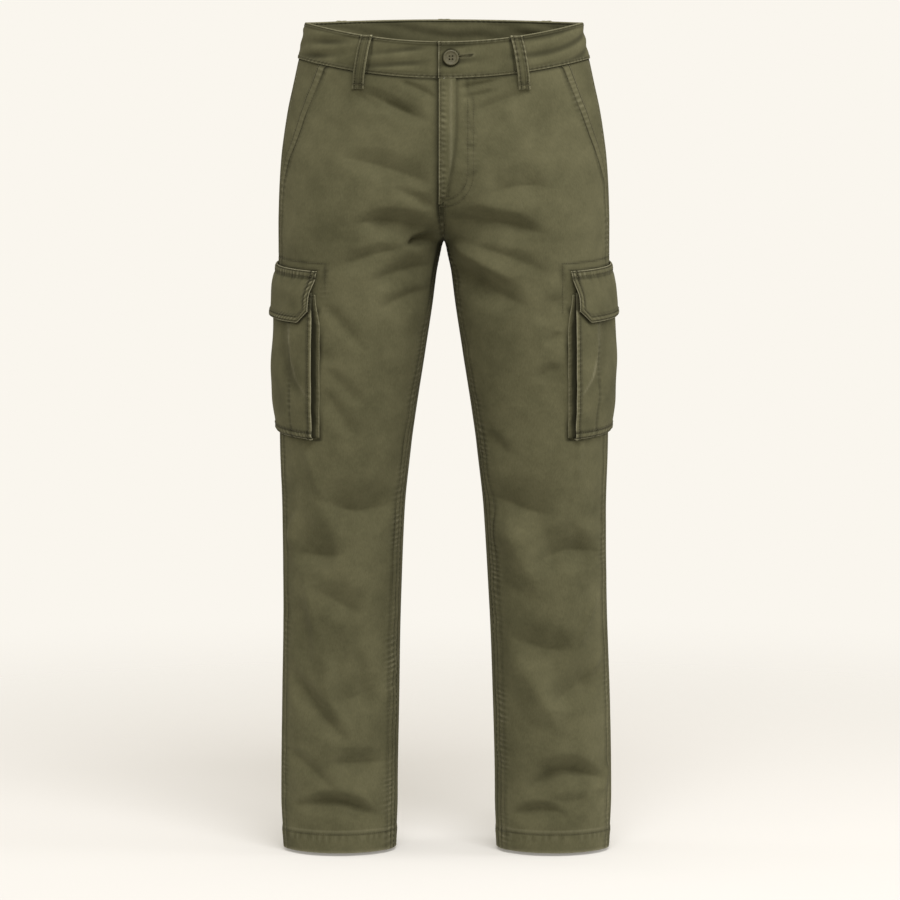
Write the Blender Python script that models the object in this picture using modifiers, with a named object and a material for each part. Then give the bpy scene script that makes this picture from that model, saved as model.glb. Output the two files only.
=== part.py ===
"""Cargo pants, filled out as if worn: each cut piece of cloth is a thin closed wall of its own.

Units are metres, +Z is up, the front faces -Y and the wearer's left leg lies on +X. The origin is
the middle of the waist ring. Every piece is a grid laid on one garment surface, which is lofted
from half ellipses: the table of SECTIONS gives their sizes from the waist to the hem.
"""

from collections import namedtuple
from math import acos, cos, exp, hypot, pi, radians, sin

import bmesh
import bpy
from mathutils import Vector

MM = 0.001

# Cloth walls and clearances, in millimetres.
WALL = 1.2
HEM_WALL = 2.4
BAND_WALL = 2.4
FLAP_WALL = 2.0
LOOP_WALL = 1.6
SEAM_GAP = 0.4
LAY_GAP = 0.6

# Heights of the seams below the middle of the waist ring, in millimetres.
BAND_TOP = 21.0
BAND_LOW = -25.8
PANEL_TOP = -26.3
CROTCH = -262.0
HEM_DEPTH = 25.0
HEM = -1059.5

# The waist dips at the front and rises a little at the back.
FRONT_DIP = 25.2
BACK_RISE = 5.0
DIP_ENDS = -235.0

# The wearer's left leg swings out a little towards its hem.
LEG_SWING = 6.0

# One row for each section: its height, the half width of the garment at its side seam, the
# middle of the leg, and how far the section reaches forward and back of the side seam.
Section = namedtuple("Section", "level outer middle front back")
SECTIONS = (
    Section(22, 179.1, 0.0, 103, 106),
    Section(-24, 188.5, 0.0, 108, 112),
    Section(-59, 196.0, 0.0, 111, 119),
    Section(-91, 203.0, 2.0, 114, 125),
    Section(-122, 208.0, 10.0, 116, 130),
    Section(-154, 212.0, 28.0, 117, 133),
    Section(-190, 214.5, 56.0, 116, 132),
    Section(-216, 215.5, 79.0, 114, 128),
    Section(-240, 216.0, 96.5, 111, 121),
    Section(-255, 216.0, 105.0, 109, 116),
    Section(-262, 216.0, 108.1, 108, 114),
    Section(-266, 216.0, 109.2, 108, 113),
    Section(-281, 216.0, 110.8, 107, 110),
    Section(-304, 216.0, 112.8, 106, 107),
    Section(-342, 216.0, 115.2, 104, 104),
    Section(-405, 216.0, 120.0, 100, 99),
    Section(-489, 215.3, 126.2, 92, 91),
    Section(-531, 214.8, 128.8, 88, 86),
    Section(-615, 212.0, 131.7, 80, 82),
    Section(-740, 211.0, 133.7, 74, 78),
    Section(-866, 213.0, 135.9, 72, 76),
    Section(-992, 214.5, 137.7, 70, 74),
    Section(-1060, 211.0, 137.4, 70, 73),
)

# Seam angles round a leg, in degrees: 0 is its outer side, 90 its front and 180 its inner side.
SeamTurn = namedtuple("SeamTurn", "level outseam inseam")
SEAM_TURNS = (
    SeamTurn(22, 8.0, 180.0),
    SeamTurn(-190, 11.0, 180.0),
    SeamTurn(-266, 12.0, 178.0),
    SeamTurn(-320, 12.5, 171.0),
    SeamTurn(-530, 14.0, 163.0),
    SeamTurn(-800, 15.0, 160.0),
    SeamTurn(-1060, 15.0, 160.0),
)

# The slanted mouth of the hip pocket, as an angle round the front.
MouthPoint = namedtuple("MouthPoint", "level turn")
MOUTH = (
    MouthPoint(-22, 31.5),
    MouthPoint(-60, 27.5),
    MouthPoint(-95, 24.0),
    MouthPoint(-130, 20.0),
    MouthPoint(-165, 14.5),
    MouthPoint(-187, 11.0),
)
FACING_TOP = -27.3
FACING_LOW = -200.0
FACING_DEPTH = WALL + 0.7
FACING_UNDERLAP = 5.0
FACING_BACK_LAP = 3.5

# Folds in millimetres, as seen from the front in x and z. Each runs towards +x between two points,
# bowed up by its bow, with a soft bank above it (over) and below it (under). It is deepest at the
# share of its length given by peak. A negative depth makes a ridge.
Fold = namedtuple("Fold", "x0 z0 x1 z1 bow over under depth peak")
FRONT_FOLDS = (
    Fold(-90, -61, -13, -107, -4, 9, 11, 2.5, 0.6),
    Fold(-113, -133, -29, -185, 0, 12, 13, 3.0, 0.45),
    Fold(-118, -239, -6, -239, 3, 13, 22, 5.0, 0.5),
    Fold(-56, -268, -4, -253, -1, 8, 9, 3.5, 0.65),
    Fold(-136, -292, -51, -267, 4, 11, 15, 2.5, 0.5),
    Fold(-100, -315, -18, -298, 3, 16, 17, 3.0, 0.5),
    Fold(-156, -451, -118, -509, -2, 11, 12, 2.0, 0.5),
    Fold(-164, -600, -58, -604, -25, 34, 22, 6.5, 0.55),
    Fold(-203, -664, -130, -666, -6, 32, 15, 4.5, 0.5),
    Fold(-170, -709, -103, -746, -4, 22, 16, 4.0, 0.7),
    Fold(-193, -722, -173, -824, 0, 8, 14, 2.0, 0.4),
    Fold(-202, -814, -119, -917, -11, 14, 12, 4.5, 0.5),
    Fold(-152, -862, -77, -840, -6, 40, 22, 4.0, 0.35),
    Fold(-152, -941, -71, -941, -2, 16, 24, 4.5, 0.5),
    Fold(-202, -1002, -79, -1018, 17, 10, 13, 5.5, 0.55),
    Fold(63, -180, 152, -174, 6, 18, 20, 2.0, 0.5),
    Fold(6, -227, 132, -245, -2, 15, 22, 5.5, 0.45),
    Fold(10, -287, 112, -342, -10, 28, 22, 5.5, 0.5),
    Fold(110, -442, 155, -417, 0, 11, 12, 2.0, 0.6),
    Fold(60, -594, 155, -621, -11, 32, 24, 5.5, 0.55),
    Fold(113, -683, 206, -657, 20, 15, 18, 5.0, 0.55),
    Fold(101, -674, 130, -751, 0, 15, 30, 5.0, 0.55),
    Fold(79, -774, 170, -792, -9, 24, 26, 4.5, 0.5),
    Fold(127, -864, 204, -814, -7, 26, 14, 4.0, 0.4),
    Fold(123, -861, 145, -925, 0, 14, 34, 4.5, 0.6),
    Fold(96, -981, 212, -968, 25, 12, 15, 6.0, 0.5),
    Fold(76, -1014, 162, -1014, 11, 9, 12, 4.0, 0.45),
)
BACK_FOLDS = (
    Fold(-150, -96, -40, -72, 5, 12, 15, 2.5, 0.5),
    Fold(34, -80, 138, -112, 4, 13, 14, 2.5, 0.45),
    Fold(-146, -300, -14, -262, -6, 16, 22, 4.5, 0.6),
    Fold(12, -258, 128, -312, -5, 15, 20, 5.0, 0.4),
    Fold(-118, -352, -34, -318, 0, 14, 17, 3.0, 0.5),
    Fold(38, -338, 132, -372, 3, 13, 16, 2.5, 0.5),
    Fold(-196, -566, -70, -584, -12, 20, 24, 5.5, 0.5),
    Fold(-186, -622, -72, -606, 8, 18, 20, 4.5, 0.45),
    Fold(72, -572, 200, -560, -10, 22, 20, 5.0, 0.5),
    Fold(78, -604, 190, -628, 6, 18, 22, 5.0, 0.55),
    Fold(-176, -672, -84, -650, -4, 20, 18, 3.0, 0.5),
    Fold(84, -736, 176, -790, 5, 26, 18, 3.5, 0.5),
    Fold(-188, -812, -92, -768, 5, 24, 20, 3.5, 0.5),
    Fold(88, -868, 170, -846, -5, 22, 20, 3.5, 0.5),
    Fold(-204, -958, -88, -974, 14, 12, 15, 5.0, 0.5),
    Fold(82, -986, 208, -972, 16, 12, 15, 5.5, 0.5),
    Fold(-186, -1018, -96, -1010, 7, 10, 12, 3.5, 0.5),
)
FOLD_STRENGTH = 1.7
CENTRE_CALM = 30.0
SEAM_CALM = 16.0
SIDE_CALM = 0.25

# The cargo pocket sits across the outseam. Angles are in degrees round the leg at the flap's top,
# and spread further down so that the pocket keeps its width as the leg narrows.
POCKET_TOP = -291.0
POCKET_SLANT = 9.0
POCKET_MIDDLE = 5.0
POCKET_SPREAD = 0.0004
FACE_HALF = 53.35
BASE_HALF = 58.2
PLEAT_HALF = 49.3
GUSSET_INSET = 0.6
GUSSET_SHORT = 2.5
FLAP_HALF_TOP = 56.3
FLAP_HALF_LOW = 51.6
FLAP_DROP = 68.0
FLAP_CORNER_DROP = 16.0
FLAP_CORNER_START = 0.82
FACE_START = 28.0
POCKET_DROP = 218.0

# How far the pocket face stands off the leg, down its middle and down its two edges.
FaceLift = namedtuple("FaceLift", "drop middle edge")
FACE_LIFTS = (
    FaceLift(28, 6.2, 6.4),
    FaceLift(70, 7.4, 8.0),
    FaceLift(110, 9.4, 8.8),
    FaceLift(140, 10.4, 9.0),
    FaceLift(175, 9.6, 8.6),
    FaceLift(200, 6.8, 7.6),
    FaceLift(212, 4.6, 6.8),
    FaceLift(218, 3.4, 6.2),
)
FlapLift = namedtuple("FlapLift", "drop lift")
FLAP_LIFTS = (
    FlapLift(0, LAY_GAP + FLAP_WALL),
    FlapLift(9, 3.6),
    FlapLift(16, 6.4),
    FlapLift(30, 9.4),
    FlapLift(50, 10.8),
    FlapLift(68, 11.4),
)

# The fly strip, by its edges in x; its free edge lies on the wearer's right front.
FLY_LEFT = -6.5
FLY_RIGHT = 17.0
FLY_LOW = -212.0
FLY_END_LIFT = 0.9

# Belt loops, by where their middles sit round the waist, in degrees.
LOOP_WIDTH = 16.0
LOOP_GAP = 7.0
LOOP_TOP = 19.0
LOOP_LOW = -47.5
LOOP_TURNS = {
    "front_left": 59.1, "front_right": 123.2,
    "side_back_left": -42.0, "side_back_right": -138.0,
    "centre_back": -90.0,
}
LOOP_SPREAD = 3.8

# The waist button, turned about its own axis, and the overlap of the band that it holds.
BUTTON_RADIUS = 10.0
BUTTON_X = 9.0
BUTTON_THICK = 3.4
BUTTON_HOLE_RADIUS = 1.1
BUTTON_HOLE_OFFSET = 2.4
OVERLAP_EDGE_X = -7.0
UNDERLAP_X = 26.0
UNDERLAP_START_X = -40.0
TUCK_LEAD = 0.03
BAND_PROUD = 0.8

SIDES = {"left": 1, "right": -1}
COLLECTION = "cargo_pants"

TWILL = ("olive_twill", (0.103, 0.099, 0.046, 1.0), 0.92)
HORN = ("olive_button", (0.068, 0.064, 0.036, 1.0), 0.42)


def smooth(value):
    """Ease a share from 0 to 1 with level ends."""
    value = min(1.0, max(0.0, value))
    return value * value * (3.0 - 2.0 * value)


def curve(table, key, column):
    """Return a smooth curve through a column of a table, without overshoot."""
    rows = sorted((getattr(row, key), getattr(row, column)) for row in table)
    xs = [row[0] for row in rows]
    ys = [row[1] for row in rows]
    steps = [(ys[i + 1] - ys[i]) / (xs[i + 1] - xs[i]) for i in range(len(xs) - 1)]
    slopes = [steps[0]]
    for before, after in zip(steps, steps[1:]):
        slopes.append(0.0 if before * after <= 0.0 else 2.0 * before * after / (before + after))
    slopes.append(steps[-1])

    def value_at(x):
        x = min(xs[-1], max(xs[0], x))
        index = max(i for i in range(len(xs) - 1) if xs[i] <= x)
        width = xs[index + 1] - xs[index]
        s = (x - xs[index]) / width
        start = (1 + 2 * s) * (1 - s) ** 2 * ys[index] + s * (1 - s) ** 2 * width * slopes[index]
        end = s * s * (3 - 2 * s) * ys[index + 1] + s * s * (s - 1) * width * slopes[index + 1]
        return start + end

    return value_at


outer_at = curve(SECTIONS, "level", "outer")
middle_at = curve(SECTIONS, "level", "middle")
front_at = curve(SECTIONS, "level", "front")
back_at = curve(SECTIONS, "level", "back")
outseam_at = curve(SEAM_TURNS, "level", "outseam")
inseam_at = curve(SEAM_TURNS, "level", "inseam")
mouth_at = curve(MOUTH, "level", "turn")
face_middle_at = curve(FACE_LIFTS, "drop", "middle")
face_edge_at = curve(FACE_LIFTS, "drop", "edge")
flap_lift_at = curve(FLAP_LIFTS, "drop", "lift")


def fold_depth(fold, x, z):
    """How deep one fold is at a point of the front or back view."""
    run, rise = fold.x1 - fold.x0, fold.z1 - fold.z0
    length = hypot(run, rise)
    along = ((x - fold.x0) * run + (z - fold.z0) * rise) / length ** 2
    if along <= 0.0 or along >= 1.0:
        return 0.0
    across = ((z - fold.z0) * run - (x - fold.x0) * rise) / length
    across -= fold.bow * 4.0 * along * (1.0 - along)
    width = fold.over if across > 0.0 else fold.under
    taper = along / fold.peak if along < fold.peak else (1.0 - along) / (1.0 - fold.peak)
    return fold.depth * smooth(taper) * exp(-abs(across / width) ** 1.6)


def fold_lift(x, z, turn):
    """All folds at a point: they die out at the waist, the hem, the centre and the side seams."""
    folds = FRONT_FOLDS if sin(turn) > 0.0 else BACK_FOLDS
    depth = front_at(z) if sin(turn) > 0.0 else back_at(z)
    from_seam = abs(turn - radians(outseam_at(z))) * depth
    calm = smooth(from_seam / SEAM_CALM) * smooth(abs(sin(turn)) / SIDE_CALM)
    if z > CROTCH:
        calm *= smooth(abs(x) / CENTRE_CALM)
    calm *= smooth((z - HEM) / HEM_DEPTH) * smooth((BAND_LOW - z) / HEM_DEPTH)
    return -FOLD_STRENGTH * calm * sum(fold_depth(fold, x, z) for fold in folds)


def leg_point(side, turn, level, lift=0.0):
    """The point at an angle round a leg and a height, moved out from the cloth by its lift."""
    middle = middle_at(level)
    reach = outer_at(level) - middle
    depth = front_at(level) if sin(turn) > 0.0 else back_at(level)
    x = middle + reach * cos(turn)
    y = -depth * sin(turn)
    normal = Vector((cos(turn) / reach, -sin(turn) / depth)).normalized()
    fade = smooth((level - DIP_ENDS) / (BAND_LOW - DIP_ENDS))
    frontness = sin(turn) ** 2
    tilt = -FRONT_DIP * frontness if sin(turn) > 0.0 else BACK_RISE * frontness
    lift += fold_lift(side * x, level, turn)
    x += lift * normal.x
    y += lift * normal.y
    if side > 0:
        x += LEG_SWING * smooth((-540.0 - level) / 400.0)
    return Vector((side * x, y, level + fade * tilt)) * MM


def turn_at_x(x, level, sign):
    """The angle at which the front (sign 1) or back (sign -1) passes a distance x."""
    share = (x - middle_at(level)) / (outer_at(level) - middle_at(level))
    return sign * acos(min(1.0, max(-1.0, share)))


def spaced(start, end, count):
    """Even steps from start to end, with both ends."""
    return [start + (end - start) * i / count for i in range(count + 1)]


def column_turn(start, level, sign, share):
    """The angle of a panel's column: closer together at both ends, and only the last few columns
    swing with the seam as it runs into the crotch."""
    crowded = 0.45 * share + 0.55 * 0.5 * (1.0 - cos(pi * share))
    end = inner_turn(level, sign)
    seam = radians(inseam_at(level))
    seam = seam if sign > 0 else seam - 2.0 * pi
    centre = sign * pi / 2.0
    steady = centre + (seam - centre) * smooth((level + 130.0) / -170.0)
    return start + (steady - start) * crowded + (end - steady) * crowded ** 6


CROTCH_LEVELS = [-243.0, -251.0, -257.0, -260.5, CROTCH, -264.0, -268.0, -276.0]
PANEL_LEVELS = spaced(PANEL_TOP, -233.0, 10) + CROTCH_LEVELS + spaced(-290.0, HEM, 30)


def material_for(recipe):
    """A plain Principled material from a name, a colour and a roughness."""
    name, colour, roughness = recipe
    material = bpy.data.materials.get(name)
    if material:
        return material
    material = bpy.data.materials.new(name)
    material.use_nodes = True
    shader = material.node_tree.nodes["Principled BSDF"]
    shader.inputs["Base Color"].default_value = colour
    shader.inputs["Roughness"].default_value = roughness
    shader.inputs["Metallic"].default_value = 0.0
    return material


def add_object(name, mesh, recipe):
    """Put a mesh in the garment's collection with its material."""
    piece = bpy.data.objects.new(name, mesh)
    mesh.materials.append(material_for(recipe))
    bpy.data.collections[COLLECTION].objects.link(piece)
    return piece


def cloth(name, columns, rows, place, outward, wall=WALL, thick_below=None):
    """A piece of cloth: a grid placed by a rule, with its wall behind its outer face.

    place(across, down) gives the point for two shares from 0 to 1. outward(point) gives a vector
    that leaves the outer face. Below the height thick_below the wall is a doubled hem.
    """
    grid = bmesh.new()
    bmesh.ops.create_grid(grid, x_segments=columns, y_segments=rows, size=0.5)
    for vertex in grid.verts:
        vertex.co = place(vertex.co.x + 0.5, 0.5 - vertex.co.y)
    grid.normal_update()
    facing = sum(face.normal.dot(outward(face.calc_center_median())) for face in grid.faces)
    if facing < 0.0:
        bmesh.ops.reverse_faces(grid, faces=grid.faces)
    mesh = bpy.data.meshes.new(name)
    grid.to_mesh(mesh)
    grid.free()
    piece = add_object(name, mesh, TWILL)
    solid = piece.modifiers.new("wall", "SOLIDIFY")
    solid.thickness = wall * MM
    solid.offset = -1.0
    if thick_below is not None:
        solid.thickness = HEM_WALL * MM
        solid.vertex_group = piece.vertex_groups.new(name="wall").name
        for vertex in mesh.vertices:
            share = 1.0 if vertex.co.z < thick_below * MM else wall / HEM_WALL
            piece.vertex_groups["wall"].add([vertex.index], share, "REPLACE")
    mesh.shade_smooth()
    return piece


def away_from_leg(side):
    """The direction out of a leg: away from its middle line."""
    def outward(point):
        return Vector((point.x - side * 0.12, point.y, 0.0))
    return outward


def level_at(down):
    """The height of a row of a panel."""
    return PANEL_LEVELS[round(down * (len(PANEL_LEVELS) - 1))]


def inner_turn(level, sign):
    """Where a front (sign 1) or back (sign -1) panel ends, at the centre or at the inseam."""
    gap = SEAM_GAP / 2.0
    if level > CROTCH:
        return turn_at_x(gap, level, sign)
    inseam = radians(inseam_at(level))
    nudge = gap / front_at(level)
    return inseam - nudge if sign > 0 else inseam - 2.0 * pi + nudge


def front_edge_turn(level):
    """The outer edge of a front: the pocket mouth, and below it the outseam."""
    nudge = SEAM_GAP / 2.0 / front_at(level)
    return radians(max(outseam_at(level), mouth_at(level))) + nudge


def make_front(label, side):
    def place(across, down):
        level = level_at(down)
        start = front_edge_turn(level)
        return leg_point(side, column_turn(start, level, 1, across), level)
    cloth("front_" + label, 12, len(PANEL_LEVELS) - 1, place, away_from_leg(side),
          thick_below=HEM + HEM_DEPTH)


def make_back(label, side):
    def place(across, down):
        level = level_at(down)
        start = radians(outseam_at(level)) - SEAM_GAP / 2.0 / front_at(level)
        return leg_point(side, column_turn(start, level, -1, across), level)
    cloth("back_" + label, 14, len(PANEL_LEVELS) - 1, place, away_from_leg(side),
          thick_below=HEM + HEM_DEPTH)


def make_facing(label, side):
    """The pocket's facing, seen between its mouth and the outseam and lapped under both edges."""
    def place(across, down):
        level = FACING_TOP + (FACING_LOW - FACING_TOP) * down
        start = radians(outseam_at(level) - FACING_BACK_LAP)
        end = radians(max(outseam_at(level), mouth_at(level)) + FACING_UNDERLAP)
        return leg_point(side, start + (end - start) * across, level, -FACING_DEPTH)
    cloth("hip_facing_" + label, 6, 9, place, away_from_leg(side))


def waist_point(x, level, lift):
    """A point of the front of the band by its x, on either side of the centre."""
    side = 1 if x >= 0.0 else -1
    return leg_point(side, turn_at_x(abs(x), level, 1), level, lift)


def make_waistband():
    """The band: from its top end at the front, right round the waist, to the end beneath it."""
    start = pi - turn_at_x(-OVERLAP_EDGE_X, 0.0, 1)
    end = -2.0 * pi + turn_at_x(UNDERLAP_X, 0.0, 1)
    tuck_start = -2.0 * pi + pi - turn_at_x(-UNDERLAP_START_X, 0.0, 1)
    tuck_end = -2.0 * pi + start + TUCK_LEAD
    tuck_depth = BAND_WALL + 2.0 * SEAM_GAP

    def place(across, down):
        turn = start + (end - start) * across
        tuck = smooth((tuck_start - turn) / (tuck_start - tuck_end))
        level = BAND_TOP + (BAND_LOW - BAND_TOP) * down
        return leg_point(1, turn, level, BAND_PROUD - tuck_depth * tuck)
    cloth("waistband", 88, 2, place, away_from_leg(0), wall=BAND_WALL)


def make_fly():
    """The doubled strip that closes the fly, on top of both fronts."""
    levels = [level for level in PANEL_LEVELS if level >= FLY_LOW - 1.0]
    edges = (FLY_LEFT, 0.0, (FLY_RIGHT - FLY_LEFT) / 3.0, FLY_RIGHT)

    def place(across, down):
        level = levels[round(down * (len(levels) - 1))]
        point = waist_point(edges[round(across * 3)], level, 0.0)
        return point + Vector((0.0, -(LAY_GAP + WALL + FLY_END_LIFT * down ** 2) * MM, 0.0))
    cloth("fly_placket", 3, len(levels) - 1, place, away_from_leg(0))


def pocket_point(side, angle, drop, lift):
    """A point of the cargo pocket, by its angle round the leg and its drop below the flap's top."""
    turn = radians(POCKET_MIDDLE + (angle - POCKET_MIDDLE) * (1.0 + POCKET_SPREAD * drop))
    level = POCKET_TOP - drop - POCKET_SLANT * sin(turn)
    return leg_point(side, turn, level, lift)


def face_lift(share, drop):
    """How far the face stands off the leg, at a share from -1 to 1 across it."""
    middle, edge = face_middle_at(drop), face_edge_at(drop)
    return middle + (edge - middle) * abs(share) ** 3


def make_cargo_face(label, side):
    """The pocket's face, whose lower end is turned under to the leg."""
    drops = spaced(FACE_START, 200.0, 8) + [210.0, POCKET_DROP - 1.0, POCKET_DROP]
    rows = len(drops)

    def place(across, down):
        row = round(down * rows)
        share = 2.0 * across - 1.0
        angle = POCKET_MIDDLE + FACE_HALF * share
        if row == rows:
            return pocket_point(side, angle, POCKET_DROP - LAY_GAP, LAY_GAP + WALL)
        return pocket_point(side, angle, drops[row], face_lift(share, drops[row]))
    cloth("cargo_face_" + label, 16, rows, place, away_from_leg(side))


def make_cargo_gusset(label, side, edge_name, edge):
    """The pleated side of the pocket: from its seam in under the face, and back to its edge."""
    top, low = FACE_START + GUSSET_SHORT, POCKET_DROP - GUSSET_SHORT

    def place(across, down):
        drop = top + (low - top) * down
        face_under = face_lift(1.0, drop) - WALL
        seam = (BASE_HALF, LAY_GAP + WALL)
        pleat = (PLEAT_HALF, face_under / 2.0)
        edge_of_face = (FACE_HALF - GUSSET_INSET, face_under - LAY_GAP - WALL)
        half, lift = (seam, pleat, edge_of_face)[round(across * 2)]
        return pocket_point(side, POCKET_MIDDLE + edge * half, drop, lift)
    cloth("cargo_gusset_" + edge_name + "_" + label, 2, 12, place, away_from_leg(side))


def make_cargo_flap(label, side):
    """The flap, sewn down along its top, with both lower corners cut off."""
    drops = (0.0, 9.0, 16.0, 30.0, 50.0, FLAP_DROP)

    def place(across, down):
        share = 2.0 * across - 1.0
        corner = max(0.0, (abs(share) - FLAP_CORNER_START) / (1.0 - FLAP_CORNER_START))
        drop = drops[round(down * 5)]
        narrow = smooth(drop / FLAP_DROP)
        half = FLAP_HALF_TOP + (FLAP_HALF_LOW - FLAP_HALF_TOP) * narrow
        drop -= FLAP_CORNER_DROP * corner * (drop / FLAP_DROP) ** 2
        return pocket_point(side, POCKET_MIDDLE + half * share, drop, flap_lift_at(drop))
    cloth("cargo_flap_" + label, 14, 5, place, away_from_leg(side), wall=FLAP_WALL)


def make_loop(label, turn_degrees):
    """A belt loop: sewn down at the band's top and below its seam, and clear of it between."""
    band_lift = BAND_PROUD + LAY_GAP + LOOP_WALL
    stand_off = BAND_PROUD + LOOP_GAP + LOOP_WALL
    path = (
        (LOOP_TOP, band_lift), (LOOP_TOP - 3.0, band_lift), (LOOP_TOP - 8.0, stand_off),
        (LOOP_TOP - 22.0, stand_off + 0.6), (-18.0, stand_off), (-31.5, stand_off - 0.4),
        (LOOP_LOW + 9.0, LAY_GAP + LOOP_WALL + 0.4), (LOOP_LOW, LAY_GAP + LOOP_WALL),
    )

    def place(across, down):
        level, lift = path[round(down * (len(path) - 1))]
        turn = radians(turn_degrees)
        foot = leg_point(1, turn, level, lift)
        beside = leg_point(1, turn + 0.01, level, lift) - leg_point(1, turn - 0.01, level, lift)
        beside.z = 0.0
        down_share = (LOOP_TOP - level) / (LOOP_TOP - LOOP_LOW)
        spread = LOOP_SPREAD * cos(turn) * (1.0 + sin(turn)) * down_share
        foot.x += spread * MM
        return foot + beside.normalized() * (across - 0.5) * LOOP_WIDTH * MM
    cloth("belt_loop_" + label, 2, len(path) - 1, place, away_from_leg(0), wall=LOOP_WALL)


def turned(name, profile, recipe):
    """A solid turned about the Z axis from a profile that runs down its outer side."""
    outline = bmesh.new()
    points = [outline.verts.new((radius * MM, 0.0, height * MM)) for radius, height in profile]
    for upper, lower in zip(points, points[1:]):
        outline.edges.new((upper, lower))
    mesh = bpy.data.meshes.new(name)
    outline.to_mesh(mesh)
    outline.free()
    piece = add_object(name, mesh, recipe)
    screw = piece.modifiers.new("turn", "SCREW")
    screw.steps = 24
    screw.render_steps = 24
    screw.use_merge_vertices = True
    screw.merge_threshold = 0.00001
    return piece


def make_button():
    """A four-hole button with a raised rim, lying on the end of the band that is on top."""
    half = BUTTON_THICK / 2.0
    profile = (
        (0.0, half - 0.9), (BUTTON_RADIUS - 3.4, half - 0.9), (BUTTON_RADIUS - 2.4, half),
        (BUTTON_RADIUS - 0.8, half), (BUTTON_RADIUS, half - 0.9), (BUTTON_RADIUS, -half + 0.8),
        (BUTTON_RADIUS - 1.2, -half), (0.0, -half),
    )
    button = turned("waist_button", profile, HORN)
    seat = waist_point(BUTTON_X, 0.0, BAND_PROUD + LAY_GAP + half)
    sideways = waist_point(BUTTON_X + 1.0, 0.0, 0.0) - waist_point(BUTTON_X - 1.0, 0.0, 0.0)
    upwards = waist_point(BUTTON_X, 5.0, 0.0) - waist_point(BUTTON_X, -5.0, 0.0)
    facing = sideways.cross(upwards).to_track_quat("Z", "Y")
    for index in range(4):
        bpy.ops.mesh.primitive_cylinder_add(
            vertices=8, radius=BUTTON_HOLE_RADIUS * MM, depth=2.0 * BUTTON_THICK * MM)
        drill = bpy.context.active_object
        drill.name = "button_drill_" + str(index)
        angle = radians(45.0 + 90.0 * index)
        offset = Vector((cos(angle), sin(angle), 0.0)) * BUTTON_HOLE_OFFSET * MM
        drill.location = seat + facing @ offset
        drill.rotation_euler = facing.to_euler()
        drill.hide_render = True
        drill.display_type = "WIRE"
        bpy.context.collection.objects.unlink(drill)
        bpy.data.collections["cutters"].objects.link(drill)
        cut = button.modifiers.new("hole_" + str(index), "BOOLEAN")
        cut.operation = "DIFFERENCE"
        cut.object = drill
    button.location = seat
    button.rotation_euler = facing.to_euler()


def start_scene():
    """An empty scene with a collection for the garment and one for what cuts it."""
    for leftover in list(bpy.data.objects):
        bpy.data.objects.remove(leftover)
    for name in (COLLECTION, "cutters"):
        bpy.context.scene.collection.children.link(bpy.data.collections.new(name))


start_scene()
for side_name, side_sign in SIDES.items():
    make_front(side_name, side_sign)
    make_back(side_name, side_sign)
    make_facing(side_name, side_sign)
    make_cargo_face(side_name, side_sign)
    make_cargo_flap(side_name, side_sign)
    make_cargo_gusset(side_name, side_sign, "front", 1)
    make_cargo_gusset(side_name, side_sign, "back", -1)
make_waistband()
make_fly()
for loop_name, loop_turn in LOOP_TURNS.items():
    make_loop(loop_name, loop_turn)
make_button()
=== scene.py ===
"""Cargo pants in olive cotton twill, filled out as if worn, hanging free over a pale studio floor.

Units are metres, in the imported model's frame: +Z is up, the front faces -Y, the wearer's left leg
lies on +X and the middle of the waist ring is the origin. Sizes in the tables are millimetres.
"""

from collections import namedtuple
from itertools import product
from math import cos, pi, radians, sin

import bmesh
import bpy
import numpy as np
from mathutils import Matrix, Vector


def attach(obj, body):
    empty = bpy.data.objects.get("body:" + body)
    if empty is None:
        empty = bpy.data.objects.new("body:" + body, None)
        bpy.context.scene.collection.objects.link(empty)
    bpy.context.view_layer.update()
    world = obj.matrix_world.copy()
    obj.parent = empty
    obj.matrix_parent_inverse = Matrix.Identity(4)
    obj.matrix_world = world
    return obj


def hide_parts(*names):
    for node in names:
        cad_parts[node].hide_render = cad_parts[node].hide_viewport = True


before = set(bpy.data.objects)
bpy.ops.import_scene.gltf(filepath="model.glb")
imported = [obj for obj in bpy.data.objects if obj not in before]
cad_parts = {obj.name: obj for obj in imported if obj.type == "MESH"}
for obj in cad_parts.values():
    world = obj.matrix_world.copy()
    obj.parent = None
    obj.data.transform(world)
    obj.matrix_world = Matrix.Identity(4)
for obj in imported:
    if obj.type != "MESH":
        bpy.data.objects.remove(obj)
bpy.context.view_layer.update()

# ---- Leg panels -------------------------------------------------------------------------------
# Two fronts and two backs, cut from washed cotton twill and sewn at the outseam, the inseam and
# the rise. All four lie on one form: rounded ovals from the waist down to each hem, with the
# creases that wear and washing have set in the cloth.
MM = 0.001
WALL = 1.2
HEM_WALL = 2.4
SEAM_GAP = 0.4
LAY_GAP = 0.6
BAND_TOP = 21.0
BAND_LOW = -25.8
PANEL_TOP = -26.3
CROTCH = -262.0
HEM = -1059.5
HEM_DEPTH = 25.0
FRONT_DIP = 25.2
BACK_RISE = 5.0
LEG_MIDDLE = 0.12
DIP_ENDS = -235.0
LEG_SWING = 6.0
SWING_START = -540.0
SWING_LENGTH = 400.0

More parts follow.
